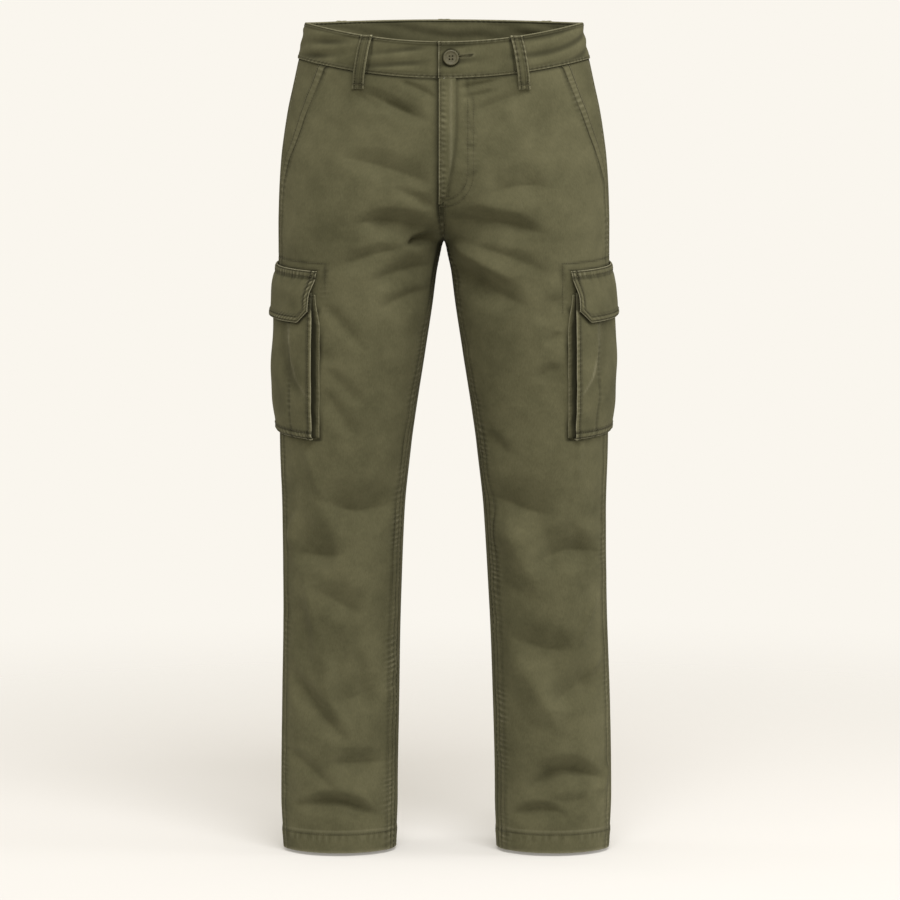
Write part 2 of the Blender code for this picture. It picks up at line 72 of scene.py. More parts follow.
Section = namedtuple("Section", "level outer middle front back")
SECTIONS = [Section(*row) for row in (
    (22, 179.1, 0.0, 103, 106), (-24, 188.5, 0.0, 108, 112), (-59, 196.0, 0.0, 111, 119),
    (-91, 203.0, 2.0, 114, 125), (-122, 208.0, 10.0, 116, 130), (-154, 212.0, 28.0, 117, 133),
    (-190, 214.5, 56.0, 116, 132), (-216, 215.5, 79.0, 114, 128), (-240, 216.0, 96.5, 111, 121),
    (-255, 216.0, 105.0, 109, 116), (-262, 216.0, 108.1, 108, 114), (-266, 216.0, 109.2, 108, 113),
    (-281, 216.0, 110.8, 107, 110), (-304, 216.0, 112.8, 106, 107), (-342, 216.0, 115.2, 104, 104),
    (-405, 216.0, 120.0, 100, 99), (-489, 215.3, 126.2, 92, 91), (-531, 214.8, 128.8, 88, 86),
    (-615, 212.0, 131.7, 80, 82), (-740, 211.0, 133.7, 74, 78), (-866, 213.0, 135.9, 72, 76),
    (-992, 214.5, 137.7, 70, 74), (-1060, 211.0, 137.4, 70, 73),
)]
SeamTurn = namedtuple("SeamTurn", "level outseam inseam")
SEAM_TURNS = [SeamTurn(*row) for row in (
    (22, 8.0, 180.0), (-190, 11.0, 180.0), (-266, 12.0, 178.0), (-320, 12.5, 171.0),
    (-530, 14.0, 163.0), (-800, 15.0, 160.0), (-1060, 15.0, 160.0),
)]
MouthPoint = namedtuple("MouthPoint", "level turn")
MOUTH = [MouthPoint(*row) for row in (
    (-22, 31.5), (-60, 27.5), (-95, 24.0), (-130, 20.0), (-165, 14.5), (-187, 11.0),
)]

# Creases, seen from the front: each runs towards +x between two points, bowed up by its bow, with
# a soft bank above it (over) and below it (under), and is deepest at its peak. A negative depth
# makes a ridge.
Fold = namedtuple("Fold", "x0 z0 x1 z1 bow over under depth peak", defaults=(0.5,))
FRONT_FOLDS = [Fold(*row) for row in (
    (-120, -60, -12, -110, -2, 10, 10, 2.4, 0.55), (-62, -51, -6, -79, 0, 5, 6, 1.4),
    (-118, -68, -78, -97, 0, 6, 7, 1.5), (-84, -79, -34, -105, 0, 6, 7, 0.8),
    (-140, -150, -10, -189, 3, 16, 14, 3.0, 0.6), (-66, -190, -8, -220, 2, 7, 8, 2.0),
    (-120, -238, -4, -249, 8, 13, 18, 5.8, 0.55), (-52, -269, -3, -250, 1, 5, 8, 4.6, 0.75),
    (-142, -297, -48, -269, 4, 10, 14, 3.0), (-100, -315, -12, -292, 3, 15, 16, 3.6, 0.6),
    (-90, -353, -18, -322, 2, 14, 16, 2.4, 0.6), (-158, -338, -96, -408, 0, 9, 10, 1.9, 0.4),
    (-160, -401, -142, -418, 0, 7, 8, 0.7), (-156, -420, -98, -474, -2, 9, 11, 1.9),
    (-160, -446, -108, -520, -2, 11, 12, 2.2), (-168, -590, -58, -600, -17, 30, 22, 6.2, 0.55),
    (-188, -515, -157, -600, 2, 4, 4, -1.3, 0.6),
    (-186, -605, -199, -664, -4, 4.5, 4.5, -1.4, 0.6),
    (-184, -690, -166, -790, 2, 4, 4, -1.5, 0.4), (-203, -664, -130, -666, -6, 32, 15, 4.5),
    (-170, -709, -103, -746, -4, 22, 16, 4.0, 0.7), (-193, -722, -173, -824, 0, 8, 14, 2.0, 0.4),
    (-202, -814, -119, -917, -11, 14, 12, 4.5), (-152, -862, -76, -840, -6, 58, 24, 5.2),
    (-152, -941, -71, -941, -2, 16, 24, 4.5), (-210, -921, -143, -978, 0, 9, 10, 2.0),
    (-202, -1002, -79, -1018, 17, 10, 13, 5.5, 0.55), (16, -66, 92, -46, -1, 4, 5, 1.3, 0.3),
    (18, -79, 72, -66, 0, 5, 5, 1.1, 0.4), (24, -98, 114, -65, -1, 7, 9, 1.4, 0.6),
    (44, -210, 142, -192, 11, 20, 20, 3.2), (0, -232, 136, -254, 7, 13, 20, 5.6, 0.45),
    (6, -257, 94, -312, -4, 10, 12, -2.6, 0.45), (40, -266, 134, -302, 2, 10, 11, 2.0),
    (4, -287, 112, -346, -7, 19, 18, 4.6), (117, -369, 152, -326, 0, 9, 10, 1.8),
    (132, -395, 152, -376, 0, 6, 7, 1.4), (113, -441, 152, -419, 0, 9, 10, 2.0, 0.6),
    (54, -507, 84, -540, 0, 10, 11, 1.6), (52, -588, 150, -614, -9, 32, 24, 5.0),
    (104, -694, 206, -668, 15, 27, 18, 5.6, 0.6), (70, -598, 128, -734, 0, 22, 20, -3.5),
    (79, -774, 170, -792, -9, 24, 26, 4.5), (171, -802, 202, -716, 4, 3.5, 3.5, -1.5, 0.55),
    (187, -848, 200, -790, 2, 4, 4, -1.3), (196, -990, 208, -940, -3, 4, 4, -1.3),
    (174, -575, 180, -512, 2, 4, 4, -1.3), (127, -864, 204, -814, -7, 26, 14, 4.0, 0.4),
    (82, -776, 146, -904, 0, 22, 22, -3.9, 0.55), (90, -988, 213, -972, 26, 17, 15, 6.6),
    (124, -984, 188, -984, -9, 9, 12, 1.5), (76, -1014, 162, -1014, 11, 9, 12, 4.0, 0.45),
)]
BACK_FOLDS = [Fold(*row) for row in (
    (-150, -96, -40, -72, 5, 12, 15, 2.5), (34, -80, 138, -112, 4, 13, 14, 2.5, 0.45),
    (-112, -214, -36, -196, -4, 12, 14, 2.2), (30, -200, 118, -226, -4, 13, 14, 2.2),
    (-146, -300, -14, -262, -6, 16, 22, 4.5, 0.6), (12, -258, 128, -312, -5, 15, 20, 5.0, 0.4),
    (-118, -352, -34, -318, 0, 14, 17, 3.0), (38, -338, 132, -372, 3, 13, 16, 2.5),
    (-158, -470, -70, -496, 0, 14, 16, 2.2), (74, -488, 160, -464, 2, 14, 16, 2.2),
    (-196, -566, -70, -584, -12, 20, 24, 5.5), (-186, -622, -72, -606, 8, 18, 20, 4.5, 0.45),
    (72, -572, 200, -560, -10, 22, 20, 5.0), (78, -604, 190, -628, 6, 18, 22, 5.0, 0.55),
    (-176, -672, -84, -650, -4, 20, 18, 3.0), (-182, -700, -168, -800, 2, 4, 4, -1.3),
    (84, -736, 176, -790, 5, 26, 18, 3.5), (-188, -812, -92, -768, 5, 24, 20, 3.5),
    (168, -836, 186, -740, 2, 4, 4, -1.3), (88, -868, 170, -846, -5, 22, 20, 3.5),
    (-204, -958, -88, -974, 14, 12, 15, 5.0), (82, -986, 208, -972, 16, 12, 15, 5.5),
    (-186, -1018, -96, -1010, 7, 10, 12, 3.5),
)]
FOLD_STRENGTH = 3.4
CENTRE_CALM = 12.0
WAIST_CALM = 10.0
SEAM_CALM = 16.0
SIDE_CALM = 0.25
# Slow crumples over the whole cloth: size, length of a wave, slant and start of each.
CRUMPLES = ((0.9, 12.0, 1.2, 0.3), (0.6, 8.2, 0.5, 1.9), (0.45, 6.1, 1.9, 2.8),
            (0.3, 4.1, 0.9, 4.4), (0.2, 3.0, 2.4, 5.5))
CRUMPLE_STRENGTH = 0.42


def unit(value):
    """A value held between 0 and 1."""
    return np.clip(value, 0.0, 1.0)


def smooth(value):
    """Ease a share from 0 to 1 with level ends."""
    value = unit(value)
    return value * value * (3.0 - 2.0 * value)


def bell(value, width, middle=0.0):
    """1 at the middle, fading out within about a width on either side."""
    return np.exp(-((value - middle) / width) ** 2)


def curve(table, key, column):
    """A smooth curve through a column of a table, without overshoot, for whole arrays."""
    rows = sorted((getattr(row, key), getattr(row, column)) for row in table)
    xs, ys = np.array(rows, float).T
    steps = np.diff(ys) / np.diff(xs)
    before, after = steps[:-1], steps[1:]
    safe = np.where(before + after == 0.0, 1.0, before + after)
    bends = np.where(before * after <= 0.0, 0.0, 2.0 * before * after / safe)
    slopes = np.concatenate(([steps[0]], bends, [steps[-1]]))

    def value_at(x):
        x = np.clip(x, xs[0], xs[-1])
        index = np.clip(np.searchsorted(xs, x, side="right") - 1, 0, len(xs) - 2)
        width = xs[index + 1] - xs[index]
        s = (x - xs[index]) / width
        start = (1 + 2 * s) * (1 - s) ** 2 * ys[index] + s * (1 - s) ** 2 * width * slopes[index]
        end = s * s * (3 - 2 * s) * ys[index + 1] + s * s * (s - 1) * width * slopes[index + 1]
        return start + end

    return value_at


outer_at, middle_at, front_at, back_at = (
    curve(SECTIONS, "level", column) for column in ("outer", "middle", "front", "back"))
outseam_at, inseam_at = (curve(SEAM_TURNS, "level", column) for column in ("outseam", "inseam"))
mouth_at = curve(MOUTH, "level", "turn")


def folds_at(folds, x, z):
    """How deep all the creases of one view are together at its points."""
    depth = np.zeros_like(x)
    for fold in folds:
        run, rise = fold.x1 - fold.x0, fold.z1 - fold.z0
        length = np.hypot(run, rise)
        along = ((x - fold.x0) * run + (z - fold.z0) * rise) / length ** 2
        across = ((z - fold.z0) * run - (x - fold.x0) * rise) / length
        across = across - fold.bow * 4.0 * along * (1.0 - along)
        taper = np.where(along < fold.peak, along / fold.peak, (1.0 - along) / (1.0 - fold.peak))
        taper = smooth(1.5 * taper)
        width = np.where(across > 0.0, fold.over, fold.under) * (0.4 + 0.6 * taper)
        bank = 1.0 - np.abs(across / width) / 1.45
        bank = 0.5 * (bank + np.sqrt(bank ** 2 + 0.02))
        depth += fold.depth * taper * bank
    return depth


def drape(side, x, level, z, turn, facing_front, depth):
    """How far the cloth moves in or out: creases, slow waves, and a calm waist, hem and seams."""
    from_seam = np.abs(turn - np.radians(outseam_at(level))) * depth
    calm = smooth(from_seam / SEAM_CALM) * smooth(np.abs(np.sin(turn)) / SIDE_CALM)
    calm *= np.where(level > CROTCH, smooth(np.abs(x) / CENTRE_CALM), 1.0)
    calm *= smooth((level - HEM) / HEM_DEPTH) * smooth((BAND_LOW - level) / WAIST_CALM)
    creases = np.where(facing_front, folds_at(FRONT_FOLDS, x, z), folds_at(BACK_FOLDS, x, z))
    bend = 1.6 * np.sin(x / 37.0 + z / 53.0 + side) + 1.1 * np.sin(z / 31.0 - x / 43.0)
    waves = sum(size * np.sin((x * cos(slant) + z * sin(slant)) / length + bend + start + turn)
                for size, length, slant, start in CRUMPLES)
    return calm * (CRUMPLE_STRENGTH * waves - FOLD_STRENGTH * creases)


def leg_point(side, turn, level, lift=0.0):
    """Points at angles round a leg and heights down it, moved out from the cloth by their lift."""
    turn, level, lift = (np.asarray(a, float) for a in np.broadcast_arrays(turn, level, lift))
    middle = middle_at(level)
    reach = outer_at(level) - middle
    facing_front = np.sin(turn) > 0.0
    depth = np.where(facing_front, front_at(level), back_at(level))
    x = middle + reach * np.cos(turn)
    y = -depth * np.sin(turn)
    nx, ny = np.cos(turn) / reach, -np.sin(turn) / depth
    size = np.hypot(nx, ny)
    fade = smooth((level - DIP_ENDS) / (BAND_LOW - DIP_ENDS))
    tilt = np.where(facing_front, -FRONT_DIP, BACK_RISE) * np.sin(turn) ** 2
    z = level + fade * tilt
    lift = lift + drape(side, side * x, level, z, turn, facing_front, depth)
    x = x + lift * nx / size
    y = y + lift * ny / size
    if side > 0:
        x = x + LEG_SWING * smooth((SWING_START - level) / SWING_LENGTH)
    return np.stack((side * x, y, z), axis=-1) * MM


def turn_at_x(x, level, sign):
    """The angle at which the front (sign 1) or back (sign -1) passes a distance x."""
    middle = middle_at(level)
    share = (x - middle) / (outer_at(level) - middle)
    return sign * np.arccos(np.clip(share, -1.0, 1.0))


def run_along(points):
    """How far each of a row of points lies from the first one, in millimetres."""
    steps = np.linalg.norm(np.diff(points, axis=0), axis=-1) / MM
    return np.concatenate((np.zeros_like(points[:1, ..., 0]), np.cumsum(steps, axis=0)))


# A piece's grid of points with their outward normals and, in millimetres, how far each point lies
# from the piece's first column, from its last column, and down from its first row.
Grid = namedtuple("Grid", "points normals from_start from_end down")


def out_of_leg(side, points):
    """Vectors out of a leg, or out of the whole garment when side is 0."""
    return points * (1.0, 1.0, 0.0) - (side * LEG_MIDDLE, 0.0, 0.0)


def measured(side, points):
    """Measure a grid of points on a leg, or on both when side is 0."""
    across = np.gradient(points, axis=1)
    downward = np.gradient(points, axis=0)
    normals = np.cross(across, downward)
    normals /= np.linalg.norm(normals, axis=-1, keepdims=True) + 1e-12
    if np.sum(normals * out_of_leg(side, points)) < 0.0:
        normals = -normals
    from_start, down = run_along(points.swapaxes(0, 1)).T, run_along(points)
    return Grid(points, normals, from_start, from_start[:, -1:] - from_start, down)


# What sewing does to a piece: relief in millimetres, and shares of painted shade and rubbed cloth.
Relief = namedtuple("Relief", "lift dark worn")


def summed(*reliefs):
    """Reliefs laid over each other."""
    return Relief(*(sum(parts) for parts in zip(*reliefs)))


def blended(first, second, share):
    """One relief where share is 0 and the other where it is 1."""
    return Relief(*(a + (b - a) * share for a, b in zip(first, second)))


def shade_only(dark):
    """Painted shade alone, with no relief."""
    return Relief(0.0 * dark, dark, 0.0 * dark)


def grooved(reach, depth, dark):
    """A groove, with painted shade inside it."""
    return Relief(-depth * reach, dark * reach, 0.0 * reach)


def waved(reach, wave, lift, dark, worn):
    """Waves in the cloth: painted shade in their hollows and rubbed pale on their crests."""
    return Relief(lift * reach * wave, dark * reach * unit(-wave), worn * reach * unit(wave))


def puckers(run, seed, turn=0.0):
    """Uneven waves along a seam from -1 to 1, about 7 mm apart."""
    phase = run / 1.12 + 1.7 * np.sin(run / 19.0 + seed) + 1.2 * np.sin(run / 8.3 + 2.0 * seed)
    uneven = 0.6 + 0.4 * np.sin(run / 7.3 + 3.0 * seed) * np.sin(run / 16.1 + seed)
    return uneven * np.sin(phase + turn)


def sewn_edge(distance, run, rows, seed, strength=1.0, roll=1.0, rubbed=0.85, pull=1.0):
    """A sewn edge: it rolls over at the cut, which is rubbed pale, stands thick as far as the last
    row of stitches, dips at each row, and puckers. Painted shade darkens each dip and the cloth
    just beyond the last row."""
    last = max(rows)
    thick = 0.9 * (1.0 - smooth((distance - last - 1.2) / 2.6)) - roll * bell(distance, 0.9)
    uneven = 0.6 + 0.4 * np.sin(run / 31.0 + 1.3 * seed)
    reach = pull * uneven * bell(distance, 0.5 * last + 1.5, 0.7 * last)
    relief = summed(Relief(thick, 0.3 * bell(distance - last, 1.8, 2.6), 0.0 * thick),
                    *[grooved(bell(distance, 0.85, row), 0.55, 0.6) for row in rows],
                    waved(reach, puckers(run, seed, 0.12 * distance), 0.62, 0.42, 0.45))
    rub = rubbed * (0.8 + 0.2 * np.sin(run / 4.3 + 2.0 * seed) * np.sin(run / 13.0))
    return Relief(strength * relief.lift, strength * relief.dark,
                  strength * relief.worn + rub * bell(distance, 0.65, 0.3))


def beside(grid, path):
    """How far, in millimetres, each point of a grid lies from a path, and where along it."""
    reach = np.full(grid.from_start.shape, np.inf)
    run = np.zeros(reach.shape)
    for point, step in zip(path, run_along(path)):
        gap = np.linalg.norm(grid.points - point, axis=-1) / MM
        run = np.where(gap < reach, step, run)
        reach = np.minimum(gap, reach)
    return reach, run


def sewn_row(grid, path, seed, strength=1.0, wide=1.0):
    """A row of stitches along a path: a groove with painted shade in it, and puckers beside it."""
    reach, run = beside(grid, path)
    near = strength * bell(reach, 4.0) * (0.6 + 0.4 * np.sin(run / 23.0 + seed))
    return summed(grooved(strength * bell(reach, wide), 0.6, 0.55),
                  waved(near, puckers(run, seed), 0.35, 0.2, 0.2))


def shaded(grid, path, wide, strength):
    """A painted shadow: a soft dark line where something stands or lies over the cloth on a path.
    """
    return shade_only(strength * bell(beside(grid, path)[0], wide))


def crowded(size, fine, coarse, fine_for=2.5, over=8.0):
    """Shares from 0 to 1 across a size: steps stay fine at both ends, then grow to coarse."""
    x = np.linspace(0.0, size, 2001)
    step = fine + (coarse - fine) * smooth((np.minimum(x, size - x) - fine_for) / over)
    count = np.concatenate(([0.0], np.cumsum((x[1] - x[0]) / step[1:])))
    return np.interp(np.linspace(0.0, count[-1], round(count[-1]) + 1), count, x / size)


def linear(hex_colour):
    """A linear colour from an sRGB hex value."""
    parts = [int(hex_colour[i:i + 2], 16) / 255.0 for i in (1, 3, 5)]
    return [c / 12.92 if c <= 0.04045 else ((c + 0.055) / 1.055) ** 2.4 for c in parts] + [1.0]


def join(material, node, socket, source, output):
    """Join an input of a node to an output of another."""
    material.node_tree.links.new(source.outputs[output], node.inputs[socket])


def add_node(material, kind, links=(), **settings):
    """Add a node: settings name its properties or inputs, links join (input, node, output)."""
    node = material.node_tree.nodes.new("ShaderNode" + kind)
    for name, value in settings.items():
        if hasattr(node, name):
            setattr(node, name, value)
        else:
            node.inputs[name.replace("_", " ")].default_value = value
    for link in links:
        join(material, node, *link)
    return node


def new_material(name, roughness, specular):
    """A material and its Principled shader."""
    material = bpy.data.materials.new(name)
    material.use_nodes = True
    shader = material.node_tree.nodes["Principled BSDF"]
    shader.inputs["Roughness"].default_value = roughness
    shader.inputs["Specular IOR Level"].default_value = specular
    return material, shader


def patches(material, stops, colours, **noise):
    """Two colours in soft patches, by noise in the object's own coordinates."""
    place = add_node(material, "TexCoord")
    clouds = add_node(material, "TexNoise", [("Vector", place, "Object")], **noise)
    ramp = add_node(material, "ValToRGB", [("Fac", clouds, "Fac")])
    for element, stop, colour in zip(ramp.color_ramp.elements, stops, colours):
        element.position, element.color = stop, linear(colour)
    return ramp


def toned(material, share, output, cloth, colour):
    """A colour with a share of a flat colour mixed in."""
    mix = add_node(material, "Mix", [(0, share, output), (6, *cloth)], data_type="RGBA")
    mix.inputs[7].default_value = linear(colour)
    return mix


def twill_material():
    """Washed cotton twill, 3/1 weave in yarn-dyed olive: matte, with a faint slanting rib. The
    real rib is about 0.8 mm apart; it is drawn wider so that it shows. Washing leaves soft cloudy
    patches and pale rubbed edges. Painted shade darkens the cloth in each sewn groove and crease
    hollow, and beside each piece that lies over it."""
    material, shader = new_material("washed_cotton_twill", 0.9, 0.2)
    cloth = add_node(material, "UVMap", uv_map="cloth")
    worn = add_node(material, "Attribute", attribute_name="worn")
    painted_shade = add_node(material, "Attribute", attribute_name="painted_shade")
    slubs = add_node(material, "Mapping", [("Vector", cloth, "UV")], Scale=(1.0, 0.35, 1.0))
    yarn = add_node(material, "TexNoise", [("Vector", slubs, "Vector")],
                    Scale=520.0, Detail=3.0, Roughness=0.7)
    slant = add_node(material, "Mapping", [("Vector", cloth, "UV")],
                     Rotation=(0.0, 0.0, radians(27.0)))
    ribs = add_node(material, "TexWave", [("Vector", slant, "Vector")], wave_type="BANDS",
                    bands_direction="X", Scale=2.0 * pi / (20.0 * RIB_PITCH * MM),
                    Distortion=1.4, Detail=2.0, Detail_Scale=1.6)
    washed = patches(material, (0.3, 0.72), ("#4f4e38", "#66644b"),
                     Scale=15.0, Detail=6.0, Roughness=0.68)
    fleck = add_node(material, "MapRange", [("Value", yarn, "Fac")],
                     From_Min=0.3, From_Max=0.75, To_Min=0.87, To_Max=1.11)
    rib_shade = add_node(material, "MapRange", [("Value", ribs, "Fac")],
                         To_Min=0.985, To_Max=1.012)
    weave = add_node(material, "Math", [(0, fleck, "Result"), (1, rib_shade, "Result")],
                     operation="MULTIPLY")
    woven = add_node(material, "VectorMath", [(0, washed, "Color"), ("Scale", weave, "Value")],
                     operation="SCALE")
    uneven = add_node(material, "Math", [(0, yarn, "Fac")], operation="ADD")
    uneven.inputs[1].default_value = 0.45
    rubbed = add_node(material, "Math", [(0, worn, "Fac"), (1, uneven, "Value")],
                      operation="MULTIPLY")
    pale = toned(material, rubbed, "Value", (woven, "Vector"), "#a3a087")
    # Painted shade: the cloth is mixed towards near-black olive by its painted shade share.
    dark = toned(material, painted_shade, "Fac", (pale, "Result"), "#212113")
    join(material, shader, "Base Color", dark, 2)
    rough = add_node(material, "MapRange", [("Value", yarn, "Fac")], To_Min=0.82, To_Max=0.98)
    join(material, shader, "Roughness", rough, "Result")
    height = add_node(material, "Math", [(0, ribs, "Fac"), (1, yarn, "Fac")], operation="ADD")
    bump = add_node(material, "Bump", [("Height", height, "Value")],
                    Strength=0.16, Distance=0.0004)
    join(material, shader, "Normal", bump, "Normal")
    shader.inputs["Sheen Weight"].default_value = 0.08
    shader.inputs["Sheen Roughness"].default_value = 0.6
    shader.inputs["Sheen Tint"].default_value = linear("#8f8c6e")
    return material


RIB_PITCH = 1.8
# The most that rubbing pales the cloth, and the most that painted shade darkens it.
MOST_WORN = 0.9
MOST_SHADE = 0.93
twill = twill_material()


def placed(name, content):
    """A new object in the scene, at the origin and unturned."""
    thing = bpy.data.objects.new(name, content)
    bpy.context.scene.collection.objects.link(thing)
    return thing


def garment_piece(name, mesh, material):
    """A piece of the garment, on its one body and in its material's slot."""
    mesh.materials.append(material)
    mesh.shade_smooth()
    piece = placed(name, mesh)
    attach(piece, "root")
    return piece


def cloth_piece(name, grid, side, reliefs, wall, thick_below):
    """A piece of cloth: a grid mesh whose points are placed, with its wall behind its face."""
    rows, columns = grid.points.shape[:2]
    sheet = bmesh.new()
    bmesh.ops.create_grid(sheet, x_segments=columns - 1, y_segments=rows - 1, size=0.5)
    # Each point's share of rubbed pale cloth, and its share of painted shade.
    wear = sheet.verts.layers.float.new("worn")
    dark = sheet.verts.layers.float.new("painted_shade")
    flat = sheet.loops.layers.uv.new("cloth")
    worn, painted_shade = np.clip(reliefs.worn, 0.0, MOST_WORN), np.clip(reliefs.dark, 0.0, MOST_SHADE)
    where = {}
    for vertex in sheet.verts:
        column = round((vertex.co.x + 0.5) * (columns - 1))
        row = round((0.5 - vertex.co.y) * (rows - 1))
        where[vertex] = spot = (row, column)
        vertex.co, vertex[wear], vertex[dark] = grid.points[spot], worn[spot], painted_shade[spot]
    for face in sheet.faces:
        for loop in face.loops:
            spot = where[loop.vert]
            loop[flat].uv = (grid.from_start[spot] * MM, -grid.down[spot] * MM)
    sheet.normal_update()
    away = out_of_leg(side, grid.points)
    facing = sum(face.normal.dot(Vector(away[where[face.verts[0]]])) for face in sheet.faces)
    if facing < 0.0:
        bmesh.ops.reverse_faces(sheet, faces=sheet.faces)
    mesh = bpy.data.meshes.new(name)
    sheet.to_mesh(mesh)
    sheet.free()
    piece = garment_piece(name, mesh, twill)
    solid = piece.modifiers.new("wall", "SOLIDIFY")
    solid.thickness = wall * MM
    solid.offset = -1.0
    if thick_below is not None:
        solid.thickness = HEM_WALL * MM
        walls = piece.vertex_groups.new(name="wall")
        solid.vertex_group = walls.name
        for vertex in mesh.vertices:
            low = vertex.co.z < thick_below * MM
            walls.add([vertex.index], 1.0 if low else wall / HEM_WALL, "REPLACE")
    return piece


# Columns crowd towards both edges; rows lie closest together round the crotch.
PANEL_SHARES = crowded(200.0, 1.05, 4.6, fine_for=14.0, over=8.0)
PANEL_LEVELS = np.concatenate([np.linspace(*stretch) for stretch in (
    (PANEL_TOP, -233.0, 118), (-235.0, -285.0, 32), (-287.0, HEM, 352))])
OUTSEAM_ROWS = (4.0, 12.5)
INSEAM_ROWS = (8.5, 18.0)
MOUTH_ROWS = (2.0, 13.0)
MOUTH_FOOT = -183.0
RISE_ROWS = (2.6, 8.6)
FLY_RISE_ROWS = {1: 1.6, -1: 6.8}
INNER_SHADE = {1: 0.9, -1: 2.5}
PLAIN_ROWS = (1.5,)
HEM_ROW = 25.0
SWING_LEVEL = -130.0


def inner_turn(level, sign):
    """Where a front (sign 1) or back (sign -1) ends, at the centre or at the inseam."""
    gap = SEAM_GAP / 2.0
    inseam = np.radians(inseam_at(level))
    nudge = gap / front_at(level)
    below = inseam - nudge if sign > 0 else inseam - 2.0 * pi + nudge
    return np.where(level > CROTCH, turn_at_x(gap, level, sign), below)


def panel_grid(side, sign):
    """A front's or back's points: columns crowd towards both edges, and only the last few swing
    with the seam as it runs into the crotch."""
    level, share = PANEL_LEVELS[:, None], PANEL_SHARES[None, :]
    first = np.maximum(outseam_at(level), mouth_at(level)) if sign > 0 else outseam_at(level)
    start = np.radians(first) + sign * SEAM_GAP / 2.0 / front_at(level)
    end = inner_turn(level, sign)
    seam = np.radians(inseam_at(level)) - (0.0 if sign > 0 else 2.0 * pi)
    centre = sign * pi / 2.0
    steady = centre + (seam - centre) * smooth((SWING_LEVEL - level) / 170.0)
    turn = start + (steady - start) * share + (end - steady) * share ** 6
    return measured(side, leg_point(side, turn, level))


def line_at(grid, distance, rows=slice(None), from_end=False):
    """The path and its normals at one distance from a grid's first or last column."""
    order = slice(None, None, -1) if from_end else slice(None)
    reach = (grid.from_end if from_end else grid.from_start)[rows][:, order]
    return [np.array([[np.interp(distance, near, row[:, k]) for k in range(3)]
                      for near, row in zip(reach, values[rows][:, order])])
            for values in (grid.points, grid.normals)]


def hem_relief(rise, around, seed):
    """The turned-up hem: thick up to its row of stitches, with small upright puckers below it."""
    pucker = np.sin(around / 1.6 + 1.4 * np.sin(around / 13.0 + seed) + np.sin(around / 5.1))
    thick = 0.9 * (1.0 - smooth((rise - HEM_ROW - 0.8) / 2.2))
    worn = 0.6 * bell(rise, 1.6) + 0.18 * bell(rise - HEM_ROW, 1.3, 2.8)
    return summed(Relief(thick, 0.0 * thick, worn), grooved(bell(rise, 1.3, HEM_ROW), 0.7, 0.5),
                  waved(bell(rise, 5.0, HEM_ROW - 5.0), pucker, 0.3, 0.2, 0.08))


def sewn_piece(name, node, grid, reliefs, side, wall=WALL, thick_below=None):
    """A sewn piece of cloth in place of its CAD node."""
    grid = measured(side, grid.points + grid.normals * (reliefs.lift * MM)[..., None])
    piece = cloth_piece(name, grid, side, reliefs, wall, thick_below)
    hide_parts(node)
    return grid


def leg_level(x, z, sign=1):
    """The level of a point of the front or back of the waist by its x and its height."""
    level = np.asarray(z, float)
    for _ in range(6):
        fade = smooth((level - DIP_ENDS) / (BAND_LOW - DIP_ENDS))
        dip = -FRONT_DIP if sign > 0 else BACK_RISE
        level = z - fade * dip * np.sin(turn_at_x(np.abs(x), level, sign)) ** 2
    return level


def waist_point(x, level, lift=0.0):
    """Points of the garment's front by their x, on either side of the centre."""
    x, level, lift = (np.asarray(a, float) for a in np.broadcast_arrays(x, level, lift))
    left, right = (leg_point(side, turn_at_x(np.abs(x), level, 1), level, lift)
                   for side in (1, -1))
    return np.where((x >= 0.0)[..., None], left, right)


def pocket_point(side, angle, drop, lift=0.0):
    """Points of the cargo pocket, by angle round the leg and drop below the flap's top."""
    spread = 1.0 + POCKET_SPREAD * np.asarray(drop, float)
    turn = np.radians(POCKET_MIDDLE + (np.asarray(angle, float) - POCKET_MIDDLE) * spread)
    return leg_point(side, turn, POCKET_TOP - drop - POCKET_SLANT * np.sin(turn), lift)


def backing_row(side):
    """The row round the patch behind the cargo pocket's top: up its front, over and down again."""
    up, over = np.linspace(BACKING_FOOT, BACKING_TOP, 50), np.linspace(1.0, -1.0, 190)
    share = np.concatenate((0.0 * up + 1.0, over, 0.0 * up - 1.0))
    drop = np.concatenate((up, 0.0 * over + BACKING_TOP, up[::-1]))
    return pocket_point(side, POCKET_MIDDLE + BACKING_HALF * share, drop)


def base_half(drop):
    """Half the angle between the pocket's sewn side edges: they draw in under the flap."""
    return BASE_HALF - 3.8 * (1.0 - smooth((drop - 26.0) / 50.0))


def pocket_outline(side, edge):
    """Where the cargo pocket meets the leg: along the flap's top, or down an edge and its foot."""
    if edge == 0:
        angle = np.linspace(POCKET_MIDDLE - FLAP_HALF_TOP, POCKET_MIDDLE + FLAP_HALF_TOP, 150)
        return pocket_point(side, angle, -0.6)
    down = np.linspace(30.0, POCKET_DROP + 1.0, 160)
    foot = np.linspace(BASE_HALF, 0.0, 80)
    angle = POCKET_MIDDLE + edge * np.concatenate((base_half(down), foot))
    return pocket_point(side, angle, np.concatenate((down, 0.0 * foot + POCKET_DROP + 1.0)))


def shield_row(x, reach_down):
    """The row that holds the fly's shield: straight down at x, then curving in to the centre."""
    bend = np.linspace(0.0, pi / 2.0, 60)
    foot_x = FLY_LEFT + 3.5
    xs = np.concatenate((np.full(110, x), foot_x + (x - foot_x) * np.cos(bend)))
    zs = np.concatenate((np.linspace(SHIELD_TOP, SHIELD_BEND, 110),
                         SHIELD_BEND - reach_down * np.sin(bend)))
    return waist_point(xs, leg_level(xs, zs))


